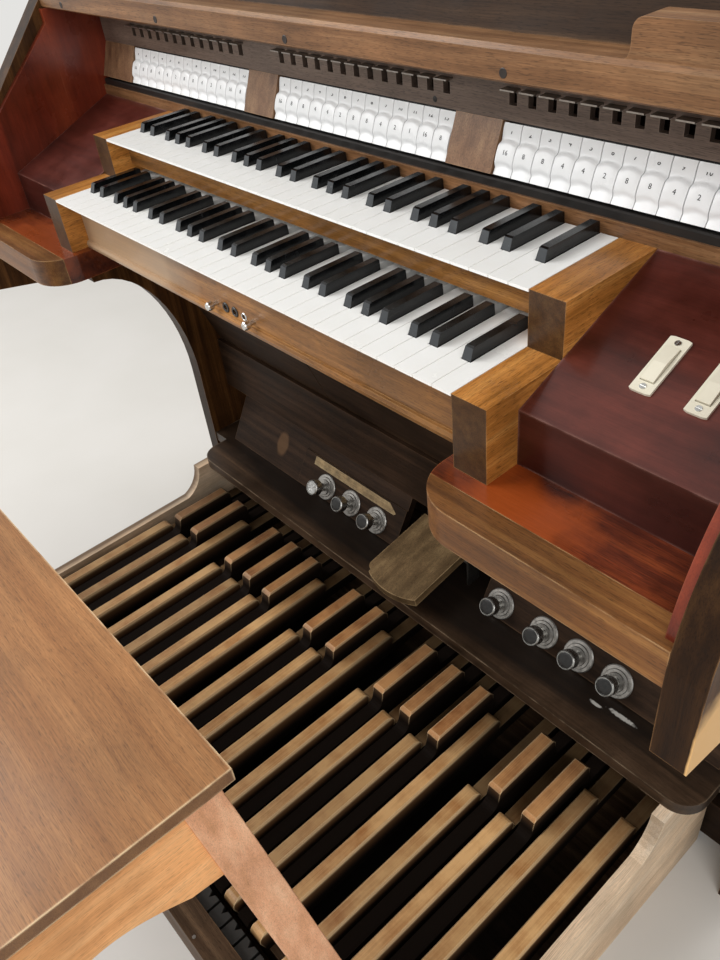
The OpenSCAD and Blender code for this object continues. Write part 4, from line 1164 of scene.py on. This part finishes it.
@dataclass
class StopAction:
    """Stop tabs with their numbers, the recess behind them and the setter panel."""

    dresser: Dresser
    # Moulded tabs with a satin face, a little grey in soft random clouds.
    white: Plastic = Plastic("moulded_white_tab", "#F2F3F3", "#DDDDDA", 0.3, 0.2, 25.0)
    # Numbers printed in black.
    ink: Plastic = Plastic("black_printing_ink", "#17181A", "#2A2B2E", 0.6)
    # Black lacquer behind and under the tabs.
    dark: Plastic = Plastic("black_lacquered_recess", "#14100D", "#241D18", 0.45)
    # Grey-brown veneer with a satin varnish round the setter slots.
    panel: Wood = Wood("grey_veneered_panel", "#5C4C42", "#6F5E53", "#7E6C60", Grain.ALONG_X,
                       figure_mm=24.0, roughness=0.36, coat=0.15, rub="#8C7C70")
    # Pewter-coloured lever plates, dulled by handling.
    plate: Metal = Metal("nickelled_lever", "#A39C94", "#6E675F", 0.32)
    count: int = 13
    pitch: float = 24.2
    gap: float = 1.2
    group_step: float = 381.6
    foot_y: float = 238.0
    foot_z: float = 1022.0
    height: float = 52.0
    lean: float = 22.0
    deep: float = 8.6
    bow: float = 0.06
    columns: int = 8
    rows: int = 30
    digit_h: float = 7.4
    plate_digit_h: float = 7.0
    pin: Point = (127.3, 255.0, 1080.2)
    plate_numbers: tuple[int, ...] = (16, 8, 8, 4, 4, 2, 8, 8, 4, 2, 1, 16, 8)

    def build(self) -> None:
        """Dresses the stop action and makes its tabs."""
        self.dresser.dress(["tab_recess"], self.dark)
        self.dresser.dress(["slot_panel"], self.panel, 0.4)
        self.dresser.dress(["setter_levers"], self.plate, 0.3)
        self.build_tabs()
        self.build_numbers()
        self.build_pin_hole()

    def relief(self, t: float, u: float) -> float:
        """Height of a tab's face in front of its plane.

        Args:
            t: place down the face, from its top at 0 to its foot at 1.
            u: place across it, from -1 to 1.

        Returns:
            The height.
        """
        t = t - self.bow * u * u
        if t < 0.30:
            height = 0.5 + 1.0 * math.cos(math.pi * t / 0.30)
        elif t < 0.36:
            height = 3.6 * (t - 0.30) / 0.06 - 0.5
        elif t < 0.72:
            height = 3.1 + 0.7 * math.sin(math.pi * (t - 0.36) / 0.36)
        elif t < 0.80:
            height = 3.1 - 3.0 * (t - 0.72) / 0.08
        else:
            height = 0.1 + 1.3 * (t - 0.80) / 0.20
        return height - 0.5 * u ** 6

    def tab_axes(self, x: float) -> Matrix:
        """Axes on a tab's plane at its foot: X across, Y up the face, Z out towards the player."""
        return self.dresser.site.stand(x, self.foot_y, self.foot_z, 90.0 - self.lean)

    def centres(self) -> list[float]:
        """The middle of each tab, from the bass end."""
        middle = (self.count - 1) / 2
        return [group * self.group_step + (i - middle) * self.pitch
                for group in (-1, 0, 1) for i in range(self.count)]

    def build_tabs(self) -> None:
        """Makes the moulded tabs."""
        shape = Shape()
        half = (self.pitch - self.gap) / 2
        across = [-1.0 + 2.0 * i / self.columns for i in range(self.columns + 1)]
        for x in self.centres():
            axes = self.tab_axes(x)
            rings = []
            for k in range(self.rows + 1):
                t = k / self.rows
                up = 1.0 + (self.height - 1.0) * (1.0 - t)
                face = [axes @ Vector((u * half, up, self.relief(t, u))) for u in across]
                back = [axes @ Vector((u * half, up, -self.deep)) for u in (1.0, -1.0)]
                rings.append(face + back)
            shape.loft(rings)
        self.dresser.piece(shape, "moulded_stop_tabs", self.white, "white_plastic",
                           replaces=["stop_tabs"], smooth_deg=50.0)

    def build_numbers(self) -> None:
        """Prints a number on each tab's head and a pitch on its plate."""
        shape = Shape()
        for i, x in enumerate(self.centres()):
            axes = self.tab_axes(x)
            step = i % self.count
            self.print_number(shape, str(step + 1), self.digit_h, axes, 0.15)
            self.print_number(shape, str(self.plate_numbers[step]), self.plate_digit_h, axes, 0.56)
        self.dresser.piece(shape, "stop_tab_numbers", self.ink, "black_plastic")

    def print_number(self, shape: Shape, text: str, size: float, axes: Matrix, t: float) -> None:
        """Lays one number on a tab's face.

        Args:
            shape: the mesh that takes it.
            text: its digits.
            size: height of the type.
            axes: the tab's axes.
            t: place down the face.
        """
        curve = bpy.data.curves.new("number", "FONT")
        curve.body = text
        curve.size = size
        curve.align_x = "CENTER"
        curve.align_y = "CENTER"
        curve.extrude = 0.12
        curve.resolution_u = 2
        made = bpy.data.objects.new("number", curve)
        mesh = bpy.data.meshes.new_from_object(made)
        up = 1.0 + (self.height - 1.0) * (1.0 - t)
        out = self.relief(t, 0.0)
        slope = (self.relief(t + 0.02, 0.0) - self.relief(t - 0.02, 0.0)) / (0.04 * self.height)
        seat = Matrix.Translation((0.0, up, out + 0.05)) @ Matrix.Rotation(math.atan(slope), 4, "X")
        start = len(shape.mesh.verts)
        shape.mesh.from_mesh(mesh)
        shape.mesh.verts.ensure_lookup_table()
        for vertex in shape.mesh.verts[start:]:
            vertex.co = axes @ (seat @ vertex.co)
        bpy.data.objects.remove(made)
        bpy.data.curves.remove(curve)
        bpy.data.meshes.remove(mesh)

    def build_pin_hole(self) -> None:
        """Makes the dark head of the pin under the middle group's slots."""
        shape = Shape()
        axes = self.dresser.site.stand(*self.pin, 90.0)
        shape.turned([(3.2, -0.5), (3.2, 0.1), (2.4, 0.6), (0.8, 0.7)], axes, 20)
        self.dresser.piece(shape, "slot_panel_pin", self.dark, "black_fittings")


@dataclass
class Fittings:
    """Pistons, switches and the swell shoe."""

    dresser: Dresser
    # Chromed brass, bright with a few dull spots.
    chrome: Metal = Metal("chromed_brass", "#D2D2D0", "#8D8B86", 0.16)
    # Turned nickel-plated heads and stems, scratched by shoes.
    nickel: Metal = Metal("nickelled_brass", "#A9A8A4", "#4C4A46", 0.26, 0.75, 5.0)
    # Pressed rosettes with a satin nickel plate, grey with old polish.
    satin: Metal = Metal("satin_nickelled_rosette", "#A5A29D", "#5B5752", 0.38, 0.7, 9.0)
    # Black button faces.
    black: Plastic = Plastic("black_phenolic_face", "#121212", "#2C2B29", 0.35, 0.6, 6.0)
    # Moulded ivory-coloured switch plates, yellowed.
    ivory: Plastic = Plastic("moulded_ivory_urea", "#E2DCC8", "#C3BAA0", 0.35)
    # The shoe's oak is scuffed bare and grey-brown.
    shoe: Wood = Wood("worn_oak_shoe", "#56432C", "#705A3E", "#8A7250", Grain.ALONG_Y,
                      figure_mm=24.0, specular=0.15, roughness=0.55, coat=0.0, rub="#BFA47A",
                      rub_amount=0.9, rub_mm=2.6, cloud_mm=60.0, cloud_amount=0.35)
    piston_xs: tuple[float, ...] = (-273.0, -198.0, -124.0, 184.5, 274.5, 342.0, 412.0)
    piston_up: float = 29.0
    head_top: float = 39.5
    face_r: float = 12.1
    thumb_y: float = 30.0
    thumb_z: float = 877.0
    thumb_spacing: float = 19.4
    thumb_bore_r: float = 3.3
    bush_r: float = 6.6
    ring_r: float = 5.4
    box_front: float = 41.0
    box_face_z: float = 919.0
    box_slope: float = 21.96
    switch_xs: tuple[float, ...] = (506.75, 556.75)
    switch_along: float = 91.0
    plate_l: float = 62.0
    plate_t: float = 2.5
    screw_in: float = 6.0
    screw_r: float = 2.9

    def build(self) -> None:
        """Dresses the fittings and makes their faces, sockets and screws."""
        dress = self.dresser.dress
        nodes = self.dresser.frame["nodes"]
        dress([name for name in nodes if name.startswith("toe_piston")], self.nickel, 0.4)
        dress([name for name in nodes if name.startswith("thumb_piston")], self.chrome, 0.4)
        dress(["piston_rosettes"], self.satin, 0.4)
        dress(["shoe_bracket"], STEEL, 0.5)
        dress(["switch_plates", "inner_rocker", "outer_rocker"], self.ivory, 0.6)
        dress(["swell_shoe"], self.shoe, 1.5)
        self.build_faces()
        self.build_sockets()
        self.build_plate_screws()

    def build_faces(self) -> None:
        """Makes the face of each toe piston: a chased chrome one at the bass end, then black ones."""
        for i, x in enumerate(self.piston_xs):
            foot = self.dresser.site.stand(x, *TOE_FOOT[1:], 90.0 - TOE_LEAN)
            axes = foot @ Matrix.Translation((0.0, self.piston_up, self.head_top))
            shape = Shape()
            if i == 0:
                profile = [(self.face_r, -0.3), (self.face_r, 0.5)]
                for step in range(5):
                    radius = self.face_r - 1.4 - 2.0 * step
                    profile += [(radius + 0.7, 0.5), (radius + 0.35, 1.1), (radius - 0.35, 1.1),
                                (radius - 0.7, 0.5)]
                shape.turned(profile, axes, 48)
            else:
                shape.turned([(self.face_r, -0.3), (self.face_r, 0.4), (self.face_r - 1.0, 0.8),
                              (self.face_r * 0.5, 1.05), (0.6, 1.1)], axes, 48)
            self.dresser.piece(shape, f"toe_piston_face_{i + 1}", self.black if i else self.chrome,
                               "black_plastic" if i else "chromed_brass",
                               f"toe_piston_{i + 1}_body")

    def build_sockets(self) -> None:
        """Makes the bushes of the three empty holes in the thumb piston row."""
        dark = Shape()
        bright = Shape()
        for i, shape in ((1, dark), (2, dark), (3, bright)):
            x = (i - 2) * self.thumb_spacing
            axes = self.dresser.site.stand(x, self.thumb_y, self.thumb_z, 90.0)
            outer = self.bush_r if shape is dark else self.ring_r
            shape.turned([(self.thumb_bore_r, -3.0), (outer, -3.0), (outer, 0.6),
                          (outer - 0.8, 1.4), (self.thumb_bore_r + 0.5, 1.4),
                          (self.thumb_bore_r, 0.9)], axes, 36, ring=True)
        self.dresser.piece(dark, "thumb_piston_bushes", self.black, "black_fittings")
        self.dresser.piece(bright, "thumb_piston_ring", self.chrome, "chromed_brass")

    def build_plate_screws(self) -> None:
        """Makes the two screws of each switch plate."""
        shape = Shape()
        foot = self.dresser.site.stand(0.0, self.box_front, self.box_face_z, self.box_slope)
        for x in self.switch_xs:
            for side in (-1, 1):
                along = self.switch_along + side * (self.plate_l / 2 - self.screw_in)
                axes = foot @ Matrix.Translation((x, along, self.plate_t))
                shape.screw(self.screw_r, axes, 35.0 + 40.0 * side)
        self.dresser.piece(shape, "switch_plate_screws", self.chrome, "chromed_brass")


@dataclass
class Pedalboard:
    """The pedals, their frame and the slotted strip behind the heels."""

    dresser: Dresser
    # Natural pedals: scrubbed yellow-brown tops on sides darkened by old stain and painted shade.
    natural: PedalWood = PedalWood("scrubbed_oak_pedal", "#DEB078", "#A9703C", "#6B4A2E", "#120D09",
                                   "#EBCD9E", 172.0, 63.5, -554.75, side_mm=9.0,
                                   grime_and_shade_from_mm=30.0, grime_and_shade_to_mm=190.0, grime=0.76,
                                   bass_shade=0.5)
    # Sharp pedals: only the raised blocks are scrubbed; the stems keep their stain.
    sharp: PedalWood = PedalWood("scrubbed_sharp_block", "#CB9560", "#85522C", "#4E3622", "#140E0A",
                                 "#E6C79A", 197.0, 31.75, -554.75, side_mm=5.0, fade_mm=24.0,
                                 bare_from_mm=76.0, grime_and_shade_from_mm=90.0, grime=0.75,
                                 bass_shade=0.6)
    # Bare oak cheeks, pinkish-pale and brightened with painted light; painted shade darkens their
    # inner faces and lower parts and the whole bass cheek.
    cheek: Wood = Wood("bare_oak_cheek", "#CDAE8E", "#E0C5A6", "#EDD8BE", Grain.ALONG_Y,
                       figure_mm=24.0, pore_depth=0.15, roughness=0.62, coat=0.0, rub="#EBD9BE",
                       # Painted shade on the inner faces and lower parts, and over the bass cheek.
                       spots=(Spot((-15, 0, 60), (588, 700, 300), "#2A1E14", 0.9, 0.02, 40.0),
                             Spot((-640, 0, 120), (60, 900, 260), "#4A3320", 0.85, 0.05, 60.0)))
    # Stained rails and the board behind the heels, painted near-black low down under the pedals as
    # painted shade.
    rail: Wood = Wood("stained_oak_rail", "#3A281A", "#54402E", "#6E5640", Grain.ALONG_X,
                      roughness=0.5, coat=0.0, specular=0.15, rub="#8C7154", spots=(
                          # Painted shade under the pedals.
                          Spot((0, 0, 60), (620, 320, 95), "#0B0908", 0.97, 0.05, 40.0),))
    # Blackened blocks that the pedals' heels work between.
    strip: Plastic = Plastic("graphited_black_block", "#24221F", "#3C3935", 0.45, 0.7, 30.0)
    pitch: float = 31.75
    block_w: float = 28.2
    first: float = -554.75
    count: int = 35
    back_y: float = -325.0
    front_y: float = -301.0
    foot_z: float = 60.0
    top_z: float = 150.0
    notch_w: float = 9.0
    notch_d: float = 8.0
    side_low: float = -584.0
    side_high: float = 554.0
    heel_screw: Point = (214.5, -356.4, 165.0)
    heel_screw_step: float = 256.0
    heel_screw_r: float = 2.6

    def build(self) -> None:
        """Dresses the pedalboard and makes its slotted strip."""
        self.dresser.dress(["pedal_naturals"], self.natural, 4.0, 5)
        self.dresser.dress(["pedal_sharps"], self.sharp, 3.5, 5)
        self.dresser.dress(["pedal_cheeks"], self.cheek, 1.2)
        self.dresser.dress(["pedal_rails"], self.rail, 1.2)
        self.build_strip()
        self.build_heel_screws()

    def build_strip(self) -> None:
        """Makes the row of blocks, each with a notch in front, on one backing board."""
        shape = Shape()
        site = self.dresser.site
        flat = site.stand(0.0, 0.0, 0.0)
        shape.prism([(self.side_low, self.back_y), (self.side_high, self.back_y),
                     (self.side_high, self.front_y - 4), (self.side_low, self.front_y - 4)],
                    self.foot_z, self.top_z - 14.0, flat)
        for i in range(self.count):
            x = self.first + i * self.pitch
            low = max(x - self.block_w / 2, self.side_low)
            high = min(x + self.block_w / 2, self.side_high)
            shape.prism([(low, self.back_y + 1), (high, self.back_y + 1), (high, self.front_y),
                         (x + self.notch_w / 2, self.front_y), (x, self.front_y - self.notch_d),
                         (x - self.notch_w / 2, self.front_y), (low, self.front_y)],
                        self.foot_z + 2.0, self.top_z, flat)
        piece = self.dresser.piece(shape, "heel_blocks", self.strip, "black_fittings",
                                   replaces=["heel_strip"])
        self.dresser.soften(piece, 0.8, 2)

    def build_heel_screws(self) -> None:
        """Makes the small screws in the top of the board behind the heels."""
        shape = Shape()
        x0, y, z = self.heel_screw
        for i in range(-3, 2):
            shape.screw(self.heel_screw_r,
                        self.dresser.site.stand(x0 + i * self.heel_screw_step, y, z), 20.0 * i)
        self.dresser.piece(shape, "heel_board_screws", STEEL, "steel")


@dataclass
class Bench:
    """The bench: a top on two raked ends, each of two splayed legs and an arched apron."""

    dresser: Dresser
    # Oak bench top with an open grain, rubbed to bare wood along its arrises.
    top: Wood = Wood("varnished_oak_bench_top", "#84562F", "#95663C", "#A67649", Grain.ALONG_X,
                     figure_mm=26.0, figure_length_mm=900.0, fibre_amount=0.24,
                     pore_length_mm=10.0, pore_depth=0.34, roughness=0.38, coat=0.2,
                     rub="#E8CBA0", rub_amount=1.0, rub_mm=4.0, cloud_mm=210.0)
    # Aprons in orange oak with the grain lengthwise, painted paler than the top with the side
    # window's light.
    apron: Wood = Wood("varnished_oak_bench_apron", "#C98A54", "#DDA068", "#EBB680", Grain.ALONG_Y,
                       figure_mm=20.0, pore_depth=0.2, fibre_amount=0.12, roughness=0.45,
                       coat=0.1, rub="#E6C497", cloud_mm=110.0)
    # Legs in the same oak with upright grain, browner, and painted paler than the top with the
    # same side light.
    leg: Wood = Wood("varnished_oak_bench_leg", "#C08A60", "#DBA27C", "#EABA94", Grain.ALONG_Z,
                     figure_mm=20.0, pore_depth=0.2, fibre_amount=0.12, roughness=0.45,
                     coat=0.1, rub="#E6C497", cloud_mm=120.0, cloud_amount=0.14)
    middle: Flat = (-15.0, -448.0)
    half_length: float = 383.0
    under_z: float = 661.98
    rake_deg: float = 25.7
    splay_deg: float = 5.3
    half_depth: float = 150.0
    leg_w: float = 41.0
    foot_w: float = 36.0
    end_t: float = 22.0
    apron_h: float = 64.0
    arch: float = 18.0
    arch_half: float = 83.0
    shoulder: float = 85.5
    apron_set: float = 2.5
    rail_t: float = 20.0
    rail_h: float = 60.0

    def build(self) -> None:
        """Dresses the top and makes the frame."""
        self.dresser.dress(["bench_top"], self.top, 2.0, 3)
        self.build_legs()
        self.build_aprons()

    def on_end(self, side: int, depth: float, down: float, inward: float) -> Vector:
        """A place on one raked end of the bench.

        Args:
            side: -1 for the bass end, 1 for the treble end.
            depth: distance from the end's middle, towards the console.
            down: distance down the slant from the top.
            inward: distance in from the outer face.

        Returns:
            The place in the model.
        """
        rake = math.radians(self.rake_deg)
        x = self.half_length + down * math.sin(rake) - inward / math.cos(rake)
        z = self.under_z - down * math.cos(rake)
        return self.dresser.site.at(self.middle[0] + side * x, self.middle[1] + depth, z)

    def build_legs(self) -> None:
        """Makes the four legs."""
        shape = Shape()
        splay = math.tan(math.radians(self.splay_deg))
        foot = self.under_z / math.cos(math.radians(self.rake_deg))
        inner_top = self.half_depth - self.leg_w
        outline = [(inner_top, 0.0), (self.half_depth, 0.0),
                   (self.half_depth + foot * splay, foot),
                   (self.half_depth + foot * splay - self.foot_w, foot),
                   (inner_top + self.shoulder * splay, self.shoulder)]
        for side in (-1, 1):
            for way in (-1, 1):
                shape.loft([[self.on_end(side, way * depth, down, inward)
                             for depth, down in outline] for inward in (0.0, self.end_t)])
        piece = self.dresser.piece(shape, "splayed_bench_legs", self.leg, "bench_wood",
                                   replaces=["bench_frame"])
        self.dresser.soften(piece, 1.2, 2)

    def build_aprons(self) -> None:
        """Makes the arched aprons between the legs and the rail that joins the ends."""
        shape = Shape()
        splay = math.tan(math.radians(self.splay_deg))
        corner = self.half_depth - self.leg_w
        steps = 12
        half = [(corner + 0.5, 0.0), (corner + self.shoulder * splay + 0.5, self.shoulder - 0.5)]
        half += [(self.arch_half * i / steps,
                  self.apron_h + self.arch * (1 - math.cos(math.pi / 2 * i / steps)))
                 for i in range(steps, 0, -1)]
        outline = half + [(0.0, self.apron_h)] + [(-depth, down) for depth, down in reversed(half)]
        for side in (-1, 1):
            shape.loft([[self.on_end(side, depth, down, inward) for depth, down in outline]
                        for inward in (self.apron_set, self.end_t - self.apron_set)])
        slant = self.rail_h / math.cos(math.radians(self.rake_deg))
        ring = [(side, down) for side, down in ((-1, 0.0), (-1, slant), (1, slant), (1, 0.0))]
        shape.loft([[self.on_end(side, way * self.rail_t / 2, down, self.end_t - 1.0)
                     for side, down in ring] for way in (-1, 1)])
        piece = self.dresser.piece(shape, "arched_bench_aprons", self.apron, "bench_wood")
        self.dresser.soften(piece, 1.0, 2)


def main() -> None:
    """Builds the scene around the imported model."""
    logging.basicConfig(level=logging.INFO, format="%(name)s: %(message)s")
    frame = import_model()
    site = Site.of_keys()
    Studio(site).build()
    dresser = Dresser(frame, site)
    for part in (Casework, Keys, StopAction, Fittings, Pedalboard, Bench):
        part(dresser).build()


if __name__ == "__main__":
    main()
